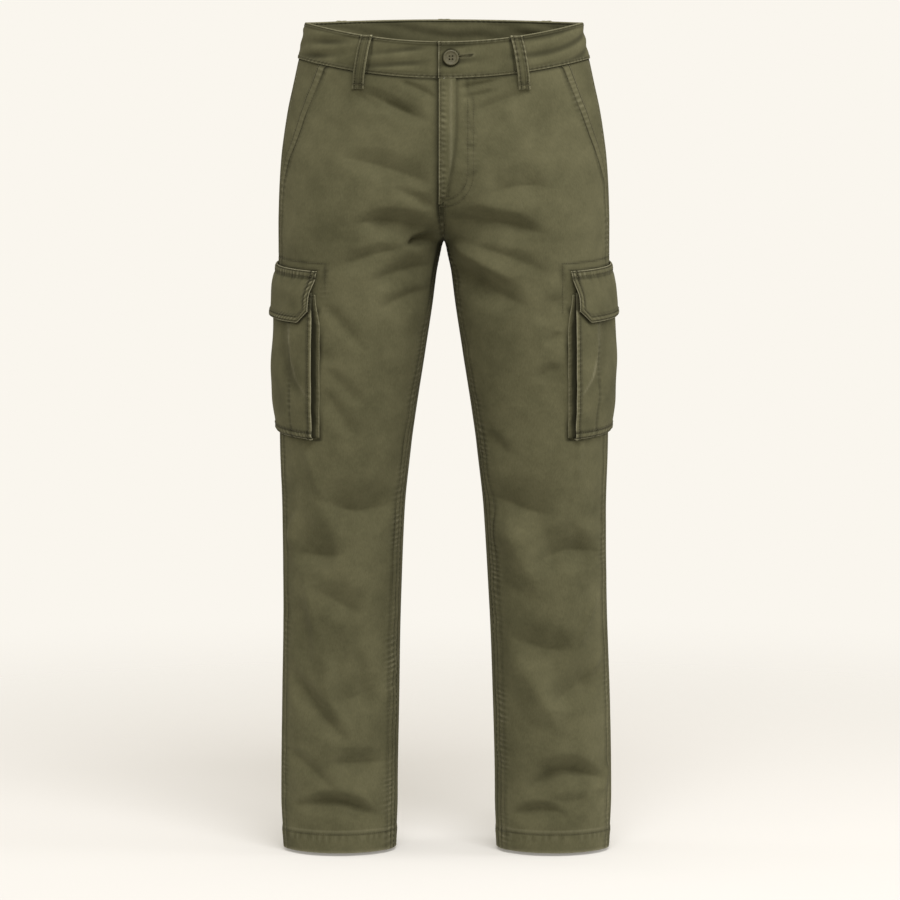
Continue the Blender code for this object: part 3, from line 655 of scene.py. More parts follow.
POCKET_TOP = -291.0
POCKET_SLANT = 9.0
POCKET_MIDDLE = 5.0
POCKET_SPREAD = 0.0004
BACKING_HALF = 62.0
BACKING_TOP = -10.0
BACKING_FOOT = 54.0
FLAP_HALF_TOP = 56.3
BASE_HALF = 58.2
POCKET_DROP = 218.0
FLY_LEFT = -6.5
FLY_LOW = -212.0
SHIELD_TOP = -52.0
SHIELD_BEND = -171.0
SHIELD_ROWS = (shield_row(38.1, 45.5), shield_row(30.8, 37.0))
FlyEdge = namedtuple("FlyEdge", "level x")
FLY_EDGE = (FlyEdge(PANEL_TOP, 17.0), FlyEdge(-90, 17.0), FlyEdge(-130, 15.0),
            FlyEdge(-160, 11.0), FlyEdge(-190, 6.5), FlyEdge(FLY_LOW, 4.0))
fly_edge_at = curve(FLY_EDGE, "level", "x")
fly_levels = np.linspace(PANEL_TOP, FLY_LOW + 12.0, 120)
fly_side = waist_point(fly_edge_at(fly_levels), fly_levels)
SIDES = (("left", 1), ("right", -1))


def panel_relief(grid, side, sign):
    """What sewing does to a front or a back: its seams, its hem, the rows and painted shadows
    beside the pieces that lie on it, and painted shade between the legs."""
    level = np.broadcast_to(PANEL_LEVELS[:, None], grid.from_start.shape)
    outer, inner, seed = grid.from_start, grid.from_end, 2.0 * sign + side
    outseam = sewn_edge(outer, level, OUTSEAM_ROWS if sign > 0 else PLAIN_ROWS, seed, 0.8,
                        rubbed=0.5, pull=0.7)
    inseam = sewn_edge(inner, level, INSEAM_ROWS if sign > 0 else PLAIN_ROWS, seed + 1.0, 1.0,
                       rubbed=0.5, pull=0.85)
    if sign < 0:
        rise = sewn_edge(inner, level, RISE_ROWS, seed + 2.0, 0.7, roll=0.4, rubbed=0.1)
    else:
        mouth = sewn_edge(outer, level, MOUTH_ROWS, seed, 1.3, rubbed=0.7, pull=0.45)
        outseam = blended(mouth, outseam, smooth((MOUTH_FOOT - level) / 8.0))
        rise = sewn_edge(inner, level, (FLY_RISE_ROWS[side],), seed + 2.0, 0.8, roll=0.0,
                         rubbed=0.0)
        rise = blended(rise, shade_only(0.0 * level), smooth((level - FLY_LOW) / 6.0))
    # Painted shade between the legs, on the cloth that turns in just below the crotch.
    turned_in = np.abs(grid.points[..., 0]) / MM - 2.0 * middle_at(level) + outer_at(level)
    between = smooth((CROTCH + 6.0 - level) / 6.0) * smooth((level - CROTCH + 110.0) / 80.0)
    between = between * smooth(3.0 - turned_in / INNER_SHADE[side])
    reliefs = [outseam, blended(rise, inseam, smooth((CROTCH + 4.0 - level) / 8.0)),
               hem_relief(level - HEM, 0.9 * outer, seed),
               # Painted shadow just below the band's lower edge.
               grooved(bell(grid.down, 2.4), 0.5, 0.85),
               sewn_row(grid, backing_row(side), seed, 0.9, wide=1.5),
               shaded(grid, pocket_outline(side, 0), 1.4, 0.75),
               shaded(grid, pocket_outline(side, sign), 1.4, 0.75), shade_only(0.93 * between)]
    if sign > 0 and side > 0:
        reliefs += [sewn_row(grid, row, seed + i, 0.55, wide=1.6)
                    for i, row in enumerate(SHIELD_ROWS)]
        reliefs.append(shaded(grid, fly_side, 2.6, 0.4))
    elif sign > 0:
        # A hollow beside the fly's edge, with painted shade in it.
        past = (inner - abs(FLY_LEFT) - 1.0) / 4.4
        beside_fly = smooth((level + 258.0) / 40.0) * np.exp(-np.maximum(past, 0.0) ** 1.3)
        reliefs += [grooved(beside_fly * (past > -1.0), 1.6, 0.0), shade_only(0.75 * beside_fly)]
    relief = summed(*reliefs)
    return relief._replace(lift=relief.lift * smooth((PANEL_TOP - level) / 3.0))


panels = {}
for (label, side), (cut, sign) in product(SIDES, (("front", 1), ("back", -1))):
    grid = panel_grid(side, sign)
    panels[cut, label] = sewn_piece(
        cut + "_cloth_" + label, cut + "_" + label, grid, panel_relief(grid, side, sign), side,
        thick_below=HEM + HEM_DEPTH)

# ---- Seam threads -----------------------------------------------------------------------------
# Core-spun polyester topstitching: two rows on each outseam, inseam, rise and pocket mouth, one
# round each hem and one round the patch behind each cargo pocket. A stitch is about 3 mm long; its
# thread is drawn 1.1 mm wide so that it shows.
STITCH = 3.3
STITCH_LONG = 2.5
STITCH_WIDE = 1.1
STITCH_HIGH = 0.6

# Dyed polyester thread, twisted and slightly shiny, a shade darker than the cloth; the darker
# tone is partly painted shade, standing in for the shadow in each needle hole.
thread, thread_shader = new_material("core_spun_polyester_thread", 0.6, 0.3)
join(thread, thread_shader, "Base Color",
     patches(thread, (0.35, 0.65), ("#3f3d2a", "#5a573f"), Scale=60.0, Detail=2.0), "Color")

one_stitch = bmesh.new()
bmesh.ops.create_uvsphere(one_stitch, u_segments=5, v_segments=3, radius=0.5)
STITCH_POINTS = np.array([vertex.co[:] for vertex in one_stitch.verts])
STITCH_FACES = [[vertex.index for vertex in face.verts] for face in one_stitch.faces]
one_stitch.free()


def level_with(vectors, normals):
    """The parts of some vectors that are square to some normals."""
    return vectors - normals * np.sum(vectors * normals, axis=1, keepdims=True)


def normalised(vectors):
    """Vectors made one unit long."""
    return vectors / (np.linalg.norm(vectors, axis=1, keepdims=True) + 1e-12)


def sew(path, facing, pitch=STITCH, long=STITCH_LONG, wide=STITCH_WIDE):
    """The points of a row of stitches along a path, each half sunk and a little uneven."""
    steps = run_along(path)
    count = max(1, int(steps[-1] / pitch))
    at = (steps[-1] - count * pitch) / 2.0 + (np.arange(count) + 0.5) * pitch
    middle, ahead, up = (
        np.stack([np.interp(at + shift, steps, values[:, k]) for k in range(3)], axis=1)
        for values, shift in ((path, -0.3), (path, 0.3), (facing, 0.0)))
    along = normalised(ahead - middle)
    up = normalised(level_with(up, along))
    side = np.cross(along, up)
    slant = (0.12 + 0.14 * np.sin(2.4 * np.arange(count)))[:, None]
    along, side = along + slant * side, side - slant * along
    across, high, length = (STITCH_POINTS * MM * (wide, STITCH_HIGH, long)).T[:, None, :, None]
    side, up, along, middle = side[:, None], up[:, None], along[:, None], middle[:, None]
    return middle + 0.15 * MM * up + across * side + high * up + length * along


def thread_piece(name, rows):
    """Rows of stitches as one piece of thread on the garment."""
    points = np.concatenate([row.reshape(-1, 3) for row in rows])
    size = len(STITCH_POINTS)
    faces = [[start + corner for corner in face]
             for start in range(0, len(points), size) for face in STITCH_FACES]
    mesh = bpy.data.meshes.new(name)
    mesh.from_pydata(points.tolist(), [], faces)
    garment_piece(name, mesh, thread)


def laid(path, *grids):
    """A path moved onto the outermost of some pieces that it crosses, with their normals."""
    best = np.full(len(path), -np.inf)
    spot, facing = path.copy(), np.zeros_like(path)
    for grid in grids:
        flat = grid.points.reshape(-1, 3)
        near = [np.argmin(np.sum((flat - point) ** 2, axis=1)) for point in path]
        offset, normals = flat[near] - path, grid.normals.reshape(-1, 3)[near]
        height = np.sum(offset * normals, axis=1)
        away = np.linalg.norm(level_with(offset, normals), axis=1)
        taken = (away < 2.5 * MM) & (height > best)
        best[taken], facing[taken] = height[taken], normals[taken]
        spot[taken] = (path + height[:, None] * normals)[taken]
    return spot[best > -1.0], facing[best > -1.0]


def sewn_line(grid, distance, rows=slice(None), from_end=False, **stitch):
    """Stitches at one distance from a grid's first or last column."""
    return sew(*line_at(grid, distance, rows, from_end), **stitch)


def turned(grid):
    """A grid with its rows and columns exchanged."""
    return Grid(grid.points.swapaxes(0, 1), grid.normals.swapaxes(0, 1), grid.down.T,
                (grid.down[-1:] - grid.down).T, grid.from_start.T)


hem_row = int(np.argmin(np.abs(PANEL_LEVELS - HEM - HEM_ROW)))
above_crotch = PANEL_LEVELS > CROTCH + 2.0
below_crotch = PANEL_LEVELS < CROTCH - 4.0
below_mouth = PANEL_LEVELS < MOUTH_FOOT - 7.0
beside_mouth = PANEL_LEVELS > MOUTH_FOOT - 1.0
below_fly = (PANEL_LEVELS < FLY_LOW - 3.0) & (PANEL_LEVELS > CROTCH + 4.0)
for label, side in SIDES:
    front, back = panels["front", label], panels["back", label]
    rows = [sewn_line(grid, distance, where, last) for grid, distances, where, last in (
        (front, OUTSEAM_ROWS, below_mouth, False), (front, INSEAM_ROWS, below_crotch, True),
        (back, RISE_ROWS, above_crotch, True), (front, (FLY_RISE_ROWS[side],), below_fly, True),
        (front, MOUTH_ROWS, beside_mouth, False)) for distance in distances]
    rows += [sew(grid.points[hem_row], grid.normals[hem_row]) for grid in (front, back)]
    rows.append(sew(*laid(backing_row(side), front, back)))
    thread_piece("seam_thread_" + label, rows)

# ---- Hip pocket facings -----------------------------------------------------------------------
# Self-cloth facings inside the slanted hip pockets: each shows in the mouth between the front's
# sewn edge and the outseam, and is caught in the waistband above.
FACING_TOP = -27.3
FACING_LOW = -200.0
FACING_DEPTH = WALL + 0.7
FACING_UNDERLAP = 5.0
FACING_COLUMNS = 56
FACING_ROWS = 96
for label, side in SIDES:
    level = np.linspace(FACING_TOP, FACING_LOW, FACING_ROWS + 1)[:, None]
    opening = np.maximum(outseam_at(level), mouth_at(level))
    start, end = np.radians(outseam_at(level)), np.radians(opening + FACING_UNDERLAP)
    turn = start + (end - start) * np.linspace(0.0, 1.0, FACING_COLUMNS + 1)[None, :]
    past_seam = np.degrees(turn) - outseam_at(level)
    sunk = smooth(past_seam / np.maximum(opening - outseam_at(level), 1.0))
    sunk = np.maximum(sunk, smooth((-178.0 - level) / 8.0))
    grid = measured(side, leg_point(side, turn, level, -FACING_DEPTH * sunk))
    run = np.broadcast_to(level, grid.from_start.shape)
    mouth_share = (np.radians(opening) - start) / (end - start)
    to_mouth = mouth_share * grid.from_start[:, -1:] - grid.from_start
    # Painted shadow on the facing where the mouth's edge lies over it.
    shade = 0.8 * np.exp(-np.maximum(to_mouth - 0.3, 0.0) / 1.3) * sunk
    ripple = 0.15 * np.sin(run / 6.0 + grid.from_start / 5.0)
    sewn_piece("hip_facing_cloth_" + label, "hip_facing_" + label, grid,
               Relief(ripple, shade, 0.0 * shade), side)

# ---- Fly placket ------------------------------------------------------------------------------
# The wearer's left front extension: a doubled strip down the middle with a rubbed, stitched and
# puckered free edge, sinking into the front on its other side and at its foot.
FLY_ROW = 2.6
FLY_ROWS = 120
BarTack = namedtuple("BarTack", "level left right")
FLY_TACKS = (BarTack(-202.5, -6.0, 7.5), BarTack(-215.5, -5.0, 4.5))
fly_down = np.linspace(0.0, 1.0, FLY_ROWS + 1)[:, None]
fly_level = PANEL_TOP + (FLY_LOW - PANEL_TOP) * fly_down
across = crowded(23.5, 0.5, 1.3)[None, :]
fly_x = FLY_LEFT + (fly_edge_at(fly_level) - FLY_LEFT) * across
proud = smooth((fly_edge_at(fly_level) - fly_x) / 5.0) * smooth((fly_level - FLY_LOW) / 9.0)
points = waist_point(fly_x, fly_level)
points[..., 1] -= (proud * (LAY_GAP + WALL + 0.6) - 0.5) * MM
fly = measured(0, points)
fly_run = np.broadcast_to(fly_level, fly.from_start.shape)
fly_waves = proud * bell(fly.from_start, 3.4, 6.0)
wave = puckers(0.8 * fly_run, 2.6, 0.15 * fly.from_start)
fly_lifts = sewn_edge(fly.from_start, fly_run, (FLY_ROW,), 0.4, 0.6, rubbed=0.45)
ridge = proud * bell(fly_x, 2.2, 9.0)
# Painted shade in the puckers' hollows and along the fly's sunken side.
fly_lifts = summed(fly_lifts, waved(fly_waves, wave, 0.6, 0.45, 0.2),
                   Relief(0.5 * ridge, 0.0 * ridge, 0.14 * ridge),
                   shaded(fly, fly_side, 3.2, 0.42),
                   *[sewn_row(fly, row, 1.0, 0.6) for row in SHIELD_ROWS])
top = smooth((PANEL_TOP - fly_level) / 3.0)
fly_lifts = Relief(*(top * part for part in fly_lifts))
fly = sewn_piece("fly_cloth", "fly_placket", fly, fly_lifts, 0)

left, right = panels["front", "left"], panels["front", "right"]
rows = [sewn_line(fly, FLY_ROW, slice(2, -6))]
rows += [sew(*laid(row[20:], fly, left)) for row in SHIELD_ROWS]
for tack in FLY_TACKS:
    tack_x = np.linspace(tack.left, tack.right, 12)
    path = waist_point(tack_x, leg_level(tack_x, tack.level + 0.0 * tack_x), 1.5)
    rows.append(sew(*laid(path, fly, left, right), pitch=0.7, long=0.75, wide=2.2))
thread_piece("fly_thread", rows)

# ---- Cargo pockets ----------------------------------------------------------------------------
# A bellows pocket across each outseam: two pleated side walls, a face hemmed and folded under at
# its foot, and over them a doubled flap with cut corners, sewn down along its top.
POCKET_WIDE = 190.0
FACE_HALF = 53.35
PLEAT_HALF = 49.3
GUSSET_INSET = 0.6
GUSSET_SHORT = 2.5
TENT_HIGH = 3.2
TENT_START = 196.0
TENT_MIDDLE = 0.55
FLAP_WALL = 2.0
FACE_ROW = 4.8
FOOT_ROWS = (1.8, 8.0)
GUSSET_ROW = 2.2
FLAP_ROWS = (2.0, 7.4)
FLAP_TOP_ROWS = (1.8, 8.0)
SHOWN = slice(3, -3)
FLAP_HALF_LOW = 51.6
FLAP_DROP = 68.0
FLAP_CORNER_DROP = 16.0
FLAP_CORNER_START = 0.82
FACE_START = 28.0
PLEAT_SHARES = (-0.62, 0.62)
FaceLift = namedtuple("FaceLift", "drop middle edge")
FACE_LIFTS = (
    FaceLift(28, 6.2, 6.4), FaceLift(70, 7.4, 8.0), FaceLift(110, 9.4, 8.8),
    FaceLift(140, 10.4, 9.0), FaceLift(175, 9.6, 8.6), FaceLift(200, 6.8, 7.6),
    FaceLift(212, 4.6, 6.8), FaceLift(218, 3.4, 6.2),
)
FlapLift = namedtuple("FlapLift", "drop lift")
FLAP_LIFTS = (
    FlapLift(0, LAY_GAP + FLAP_WALL), FlapLift(9, 3.6), FlapLift(16, 6.4),
    FlapLift(30, 9.4), FlapLift(50, 10.8), FlapLift(68, 11.4),
)
face_middle_at = curve(FACE_LIFTS, "drop", "middle")
face_edge_at = curve(FACE_LIFTS, "drop", "edge")
flap_lift_at = curve(FLAP_LIFTS, "drop", "lift")


def face_lift(share, drop):
    """How far the face stands off the leg, at a share from -1 to 1 across it."""
    middle, edge = face_middle_at(drop), face_edge_at(drop)
    return middle + (edge - middle) * np.abs(share) ** 3


def slack(share, drop, seed):
    """The face's own soft creases, their painted shade and how pale they are rubbed: one long bowed
    ridge on each side and a few shallow slanting ones."""
    bowed = np.interp(drop, (50.0, 110.0, 140.0, 165.0), (0.6, 0.64, 0.75, 0.95))
    ends = smooth((drop - 45.0) / 20.0) * smooth((172.0 - drop) / 20.0)
    beyond = np.abs(share) - bowed
    ridge, hollow = ends * bell(beyond, 0.02), ends * bell(beyond, 0.09, -0.12)
    swell = ends * bell(beyond, 0.16) * (beyond > 0.0)
    slant = (np.sin(drop / 19.0 + 4.4 * share + seed) + 0.6 * np.sin(drop / 9.0 - 6.0 * share)
             + 0.5 * np.sin(9.0 * share + drop / 31.0 + 2.0 * seed))
    patchy = 0.55 + 0.45 * np.sin(drop / 9.0 + 2.0 * seed) * np.sin(drop / 23.0 + seed)
    lift = 0.8 * ridge + 0.5 * swell - 1.4 * hollow + 0.5 * slant
    return lift, 0.22 * hollow + 0.08 * np.clip(-slant, 0.0, 2.0), 0.42 * ridge * patchy


def cargo_face(label, side, seed):
    """The pocket's face, folded under at its foot, and its rows of stitches."""
    drop = FACE_START + (POCKET_DROP - FACE_START) * crowded(POCKET_DROP - FACE_START, 0.7, 2.2)
    drop = np.concatenate((drop, (POCKET_DROP - 0.2, POCKET_DROP - 0.6)))[:, None]
    share = 2.0 * crowded(POCKET_WIDE, 0.6, 2.6)[None, :] - 1.0
    lift = face_lift(share, np.minimum(drop, POCKET_DROP)) + 0.0 * drop
    lift[-2] = 0.5 * (lift[-3] + LAY_GAP + WALL)
    lift[-1] = LAY_GAP + WALL
    calm = smooth((1.0 - np.abs(share)) * 7.0) * smooth((POCKET_DROP - 9.0 - drop) / 10.0)
    crease, shadow, rub = slack(share, drop, seed)
    face = measured(side, pocket_point(side, POCKET_MIDDLE + FACE_HALF * share, drop,
                                       lift + calm * crease))
    run = np.broadcast_to(drop, face.from_start.shape)
    to_foot = np.maximum(0.0, face.down[-3:-2] - face.down)
    sides = np.minimum(face.from_start, face.from_end)
    seams = summed(sewn_edge(sides, run, (FACE_ROW,), seed, 1.25, pull=0.6),
                   sewn_edge(to_foot, face.from_start, FOOT_ROWS, seed + 1.0, 1.45))
    for share_at in PLEAT_SHARES:
        pleat = pocket_point(side, POCKET_MIDDLE + FACE_HALF * share_at + 0.0 * drop[:-2, 0],
                             drop[:-2, 0], face_lift(share_at, drop[:-2, 0]))
        seams = summed(seams, sewn_row(face, pleat, seed + share_at, 1.2, wide=1.6))
    # Painted shadow on the face just below the flap's edge, and painted shade in its creases.
    corner = np.maximum(0.0, (np.abs(share) * FACE_HALF / FLAP_HALF_LOW - FLAP_CORNER_START)
                        / (1.0 - FLAP_CORNER_START))
    under_flap = np.maximum(0.0, drop - FLAP_DROP + FLAP_CORNER_DROP * corner)
    seams = summed(seams, Relief(0.0 * rub, calm * shadow, calm * rub),
                   shade_only(0.8 * bell(under_flap, 2.6)))
    face = sewn_piece("cargo_face_cloth_" + label, "cargo_face_" + label, face, seams, side)
    above_foot = to_foot[:, 0] > FOOT_ROWS[1]
    rows = [sewn_line(face, FACE_ROW, above_foot, last) for last in (False, True)]
    turned_under = face.down[-1, 0] - face.down[-3, 0]
    return rows + [sewn_line(turned(face), row + turned_under, SHOWN, True) for row in FOOT_ROWS]


def cargo_gusset(label, side, seed, place, edge):
    """A pocket's pleated side wall, held up like a tent at its foot, and its row of stitches."""
    down = np.linspace(0.0, 1.0, 76)[:, None]
    drop = FACE_START + GUSSET_SHORT + (POCKET_DROP - FACE_START - 2 * GUSSET_SHORT) * down
    under = face_lift(1.0, drop) - WALL
    across = np.linspace(0.0, 2.0, 21)[None, :]
    inward, outward = unit(across), unit(across - 1.0)
    half = base_half(drop) + (PLEAT_HALF - base_half(drop)) * inward
    half = half + (FACE_HALF - GUSSET_INSET - PLEAT_HALF) * outward
    lift = LAY_GAP + WALL + (under / 2.0 - LAY_GAP - WALL) * inward
    lift = lift + (under / 2.0 - LAY_GAP - WALL) * outward
    tent = TENT_HIGH * smooth((drop - TENT_START) / 16.0)
    lift = lift + tent * np.maximum(0.0, 1.0 - np.abs(across - TENT_MIDDLE) / TENT_MIDDLE)
    gusset = measured(side, pocket_point(side, POCKET_MIDDLE + edge * half, drop, lift))
    run = np.broadcast_to(drop, gusset.from_start.shape)
    seams = sewn_edge(gusset.from_start, run, (GUSSET_ROW,), seed, 0.6, rubbed=0.5)
    # Painted shade on the wall, deeper behind the face's edge and uneven where it is rumpled.
    rumpled = 0.5 + 0.5 * np.sin(drop / 5.3 + 0.5 * gusset.from_start) * np.sin(drop / 13.0)
    shade = (0.4 + 0.24 * rumpled) * smooth((gusset.from_start - 2.6) / 1.8)
    shade = shade + 0.5 * smooth((gusset.from_start - 5.4) / 1.8)
    label = place + "_" + label
    gusset = sewn_piece("cargo_gusset_cloth_" + label, "cargo_gusset_" + label, gusset,
                        summed(seams, shade_only(shade)), side)
    return sewn_line(gusset, GUSSET_ROW)


def cargo_flap(label, side, seed):
    """The doubled flap over the pocket, and its rows of stitches."""
    down = crowded(FLAP_DROP, 0.5, 2.0)[:, None]
    share = 2.0 * crowded(POCKET_WIDE, 0.6, 2.4)[None, :] - 1.0
    corner = np.maximum(0.0, (np.abs(share) - FLAP_CORNER_START) / (1.0 - FLAP_CORNER_START))
    drop = FLAP_DROP * down
    half = FLAP_HALF_TOP + (FLAP_HALF_LOW - FLAP_HALF_TOP) * smooth(1.6 * down)
    drop = drop - FLAP_CORNER_DROP * corner * down ** 2
    flap = measured(side, pocket_point(side, POCKET_MIDDLE + half * share, drop,
                                       flap_lift_at(drop)))
    to_foot = flap.down[-1:] - flap.down
    edge = np.minimum(np.minimum(flap.from_start, flap.from_end), to_foot)
    upright = np.sin(flap.from_start / 3.1 + 1.3 * np.sin(flap.from_start / 17.0 + seed))
    below_top = bell(flap.down, 9.0, 12.0)
    ripple = 0.4 * np.sin(flap.from_start / 8.0 + flap.down / 13.0 + seed) * smooth(down * 3.0)
    seams = summed(sewn_edge(edge, flap.from_start + flap.down, FLAP_ROWS, seed, 1.35, pull=1.0),
                   sewn_edge(flap.down, flap.from_start, FLAP_TOP_ROWS, seed + 2.0, 1.5))
    seams = summed(seams, waved(below_top, upright, 0.35, 0.2, 0.0),
                   Relief(ripple, 0.0 * ripple, 0.0 * ripple))
    flap = sewn_piece("cargo_flap_cloth_" + label, "cargo_flap_" + label, flap, seams, side,
                      wall=FLAP_WALL)
    rows = [sewn_line(turned(flap), row, SHOWN) for row in FLAP_TOP_ROWS]
    for row in FLAP_ROWS:
        rows += [sewn_line(flap, row, to_foot[:, 0] > row, last) for last in (False, True)]
        rows.append(sewn_line(turned(flap), row, SHOWN, True))
    return rows


for label, side in SIDES:
    seed = 1.7 + side
    rows = cargo_face(label, side, seed)
    rows.append(cargo_gusset(label, side, seed, "front", 1))
    rows.append(cargo_gusset(label, side, seed, "back", -1))
    thread_piece("cargo_thread_" + label, rows + cargo_flap(label, side, seed))

# ---- Waistband --------------------------------------------------------------------------------
# One straight strip folded over and topstitched along both edges, from the end that lies on top
# at the front, round the waist, to the end beneath it. It is creased lengthwise by a belt.
BAND_WALL = 2.4
BAND_PROUD = 0.8
OVERLAP_EDGE_X = -7.0
UNDERLAP_X = 26.0
UNDERLAP_START_X = -40.0
TUCK_LEAD = 0.03
BAND_ROW = 2.2
BAND_COLUMNS = 470
BUTTON_X = 9.0
BUTTON_RADIUS = 10.0
HOLE_FROM_X = 15.0
HOLE_TO_X = 37.0
LOOP_WIDTH = 16.0
LOOP_TOP = 21.5
LOOP_LOW = -47.5
LOOP_SPREAD = 3.8
LOOP_TURNS = {
    "front_left": 59.1, "front_right": 123.2,
    "side_back_left": -42.0, "side_back_right": -138.0,
    "centre_back": -90.0,
}


def loop_line(degrees, level, lift):
    """The line down the middle of a belt loop, and its directions across the loop."""
    turn = radians(degrees)
    line = leg_point(1, turn, level, lift)
    sideways = leg_point(1, turn + 0.01, level, lift) - leg_point(1, turn - 0.01, level, lift)
    sideways[:, 2] = 0.0
    sideways /= np.linalg.norm(sideways, axis=1, keepdims=True)
    share = (LOOP_TOP - level) / (LOOP_TOP - LOOP_LOW)
    line[:, 0] += LOOP_SPREAD * cos(turn) * (1.0 + sin(turn)) * share * MM
    return line, sideways


band_start = float(pi - turn_at_x(-OVERLAP_EDGE_X, 0.0, 1))
band_end = float(turn_at_x(UNDERLAP_X, 0.0, 1)) - 2.0 * pi
tuck_start = float(-turn_at_x(-UNDERLAP_START_X, 0.0, 1)) - pi
tuck_end = band_start + TUCK_LEAD - 2.0 * pi
turn = np.concatenate((band_start - np.array((0.0, 0.004, 0.008, 0.013, 0.018, 0.024)),
                       np.linspace(band_start - 0.031, band_end, BAND_COLUMNS)))[None, :]
down = crowded(BAND_TOP - BAND_LOW, 0.5, 1.7)[:, None]
tuck = smooth((tuck_start - turn) / (tuck_start - tuck_end))
points = leg_point(1, turn, BAND_TOP + (BAND_LOW - BAND_TOP) * down,
                   BAND_PROUD - (BAND_WALL + 2.0 * SEAM_GAP) * tuck)
band = measured(0, points)
band_low = band.down[-1:] - band.down
run = band.from_start
middle = smooth(band.down / 9.0) * smooth(band_low / 9.0) * (1.0 - tuck)
creases = np.sin(band.down / 3.4 + 2.4 * np.sin(run / 47.0 + 1.0) + run / 29.0)
creases = creases * (0.5 + 0.5 * np.sin(run / 24.0 + 2.0 * np.sin(run / 61.0)))
# Painted shade in the hollows of the belt's creases, on the outside only.
outside = smooth(-band.points[..., 1] / (30.0 * MM))
slow = np.sin(run / 17.0 + band.down / 7.0) * np.sin(band.down / 9.0 + run / 40.0)
# Painted shadow on the end beneath, next to the edge of the end on top.
past_end = np.maximum(OVERLAP_EDGE_X - band.points[..., 0] / MM, 0.0) + 99.0 * (run < 600.0)
reliefs = [sewn_edge(band.down, run, (BAND_ROW,), 0.3, 1.1, rubbed=0.5, pull=0.6),
           sewn_edge(band_low, run, (BAND_ROW,), 1.4, 0.9, roll=0.5, rubbed=0.25),
           sewn_edge(run, band.down, (BAND_ROW,), 2.2, 0.7, pull=0.4),
           Relief(middle * (1.3 * creases + slow), 0.62 * middle * outside * unit(-creases),
                  0.0 * run),
           shade_only(0.7 * bell(past_end, 3.2))]
# Painted shadows on the band beside the edges of the two front loops.
for place in ("front_left", "front_right"):
    path, sideways = loop_line(LOOP_TURNS[place], np.linspace(19.0, BAND_LOW, 60), BAND_PROUD)
    reliefs += [shaded(band, path + edge * LOOP_WIDTH * MM * sideways, 1.6, 0.75)
                for edge in (-0.54, 0.54)]
hole_x = np.linspace(HOLE_FROM_X, HOLE_TO_X, 40)
hole = waist_point(hole_x, 1.0 + 0.07 * (hole_x - HOLE_FROM_X), BAND_PROUD)
reach = beside(band, hole)[0]
# The buttonhole: a cut slit painted dark as its shade, between raised lips.
slit, lips = bell(reach, 0.8), bell(reach, 1.1, 2.2)
# A painted shadow rings the band round the button.
under_button = beside(band, waist_point((BUTTON_X,), (0.0,), BAND_PROUD))[0]
reliefs += [Relief(0.5 * lips - 1.4 * slit, 0.95 * slit, 0.1 * lips),
            shade_only(0.9 * bell(under_button - BUTTON_RADIUS, 1.6, 0.4))]
band = sewn_piece("waistband_cloth", "waistband", band, summed(*reliefs), 0,
                  wall=BAND_WALL)
rows = [sewn_line(turned(band), BAND_ROW, slice(2, -12), last) for last in (False, True)]
rows.append(sewn_line(band, BAND_ROW, SHOWN))
rows += [sew(*laid(hole + (0.0, 0.0, lip * MM), band), pitch=0.75, long=0.8, wide=1.5)
         for lip in (1.3, -1.3)]
thread_piece("waistband_thread", rows)

# ---- Belt loops -------------------------------------------------------------------------------
# Five loops of folded cloth with a row of stitches along each edge: bar-tacked to the top of the
# band, standing clear of it, and bar-tacked again below its lower seam.
LOOP_WALL = 1.6
LOOP_ROW = 3.2
LOOP_TACKS = (3.4, 6.0)
LoopPoint = namedtuple("LoopPoint", "level lift")
LOOP_PATH = (
    LoopPoint(LOOP_TOP, 2.6), LoopPoint(18.0, 3.1), LoopPoint(12.0, 5.6), LoopPoint(2.0, 7.8),
    LoopPoint(-14.0, 8.4), LoopPoint(-28.0, 7.6), LoopPoint(-37.5, 4.6), LoopPoint(-43.5, 2.5),
    LoopPoint(LOOP_LOW, 2.2),
)
loop_lift_at = curve(LOOP_PATH, "level", "lift")
loop_rows = []
for label, degrees in LOOP_TURNS.items():
    level = LOOP_TOP + (LOOP_LOW - LOOP_TOP) * crowded(68.0, 0.6, 1.5)
    line, sideways = loop_line(degrees, level, loop_lift_at(level))
    across = (crowded(LOOP_WIDTH, 0.45, 1.3) - 0.5)[None, :, None] * LOOP_WIDTH * MM
    loop = measured(0, line[:, None] + sideways[:, None] * across)
    edge = np.minimum(loop.from_start, loop.from_end)
    from_foot = loop.down[-1:] - loop.down
    seams = sewn_edge(edge, loop.down, (LOOP_ROW,), degrees, 1.15, rubbed=0.35, pull=0.8)
    ends = [sewn_edge(away, loop.from_start, (tack,), degrees, 1.1, pull=0.4)
            for away, tack in ((loop.down, LOOP_TACKS[0]), (from_foot, LOOP_TACKS[1]))]
    loop = sewn_piece("belt_loop_cloth_" + label, "belt_loop_" + label, loop,
                      summed(seams, *ends), 0, wall=LOOP_WALL)
    for tack, last in zip(LOOP_TACKS, (False, True)):
        loop_rows += [sewn_line(loop, LOOP_ROW, slice(4, -4), last),
                      sewn_line(turned(loop), tack, slice(1, -1), last,
                                pitch=0.8, long=0.8, wide=2.0)]
thread_piece("belt_loop_thread", loop_rows)

# ---- Waist button -----------------------------------------------------------------------------
# A dished four-hole button with a rounded rim, moulded in resin that is marbled like horn, sewn on
# with two bars of thread.
BUTTON_THICK = 3.4
BUTTON_WELL = 6.4
BUTTON_HOLE = 1.15
BUTTON_HOLE_OUT = 2.8
BUTTON_PROFILE = (
    (BUTTON_WELL, 0.55), (6.9, 0.62), (7.3, 0.95), (7.7, 1.4), (8.3, 1.66), (9.0, 1.7),
    (9.6, 1.45), (BUTTON_RADIUS, 0.8), (BUTTON_RADIUS, -0.8), (9.4, -1.45), (8.4, -1.7),
    (BUTTON_WELL, -1.7),
)

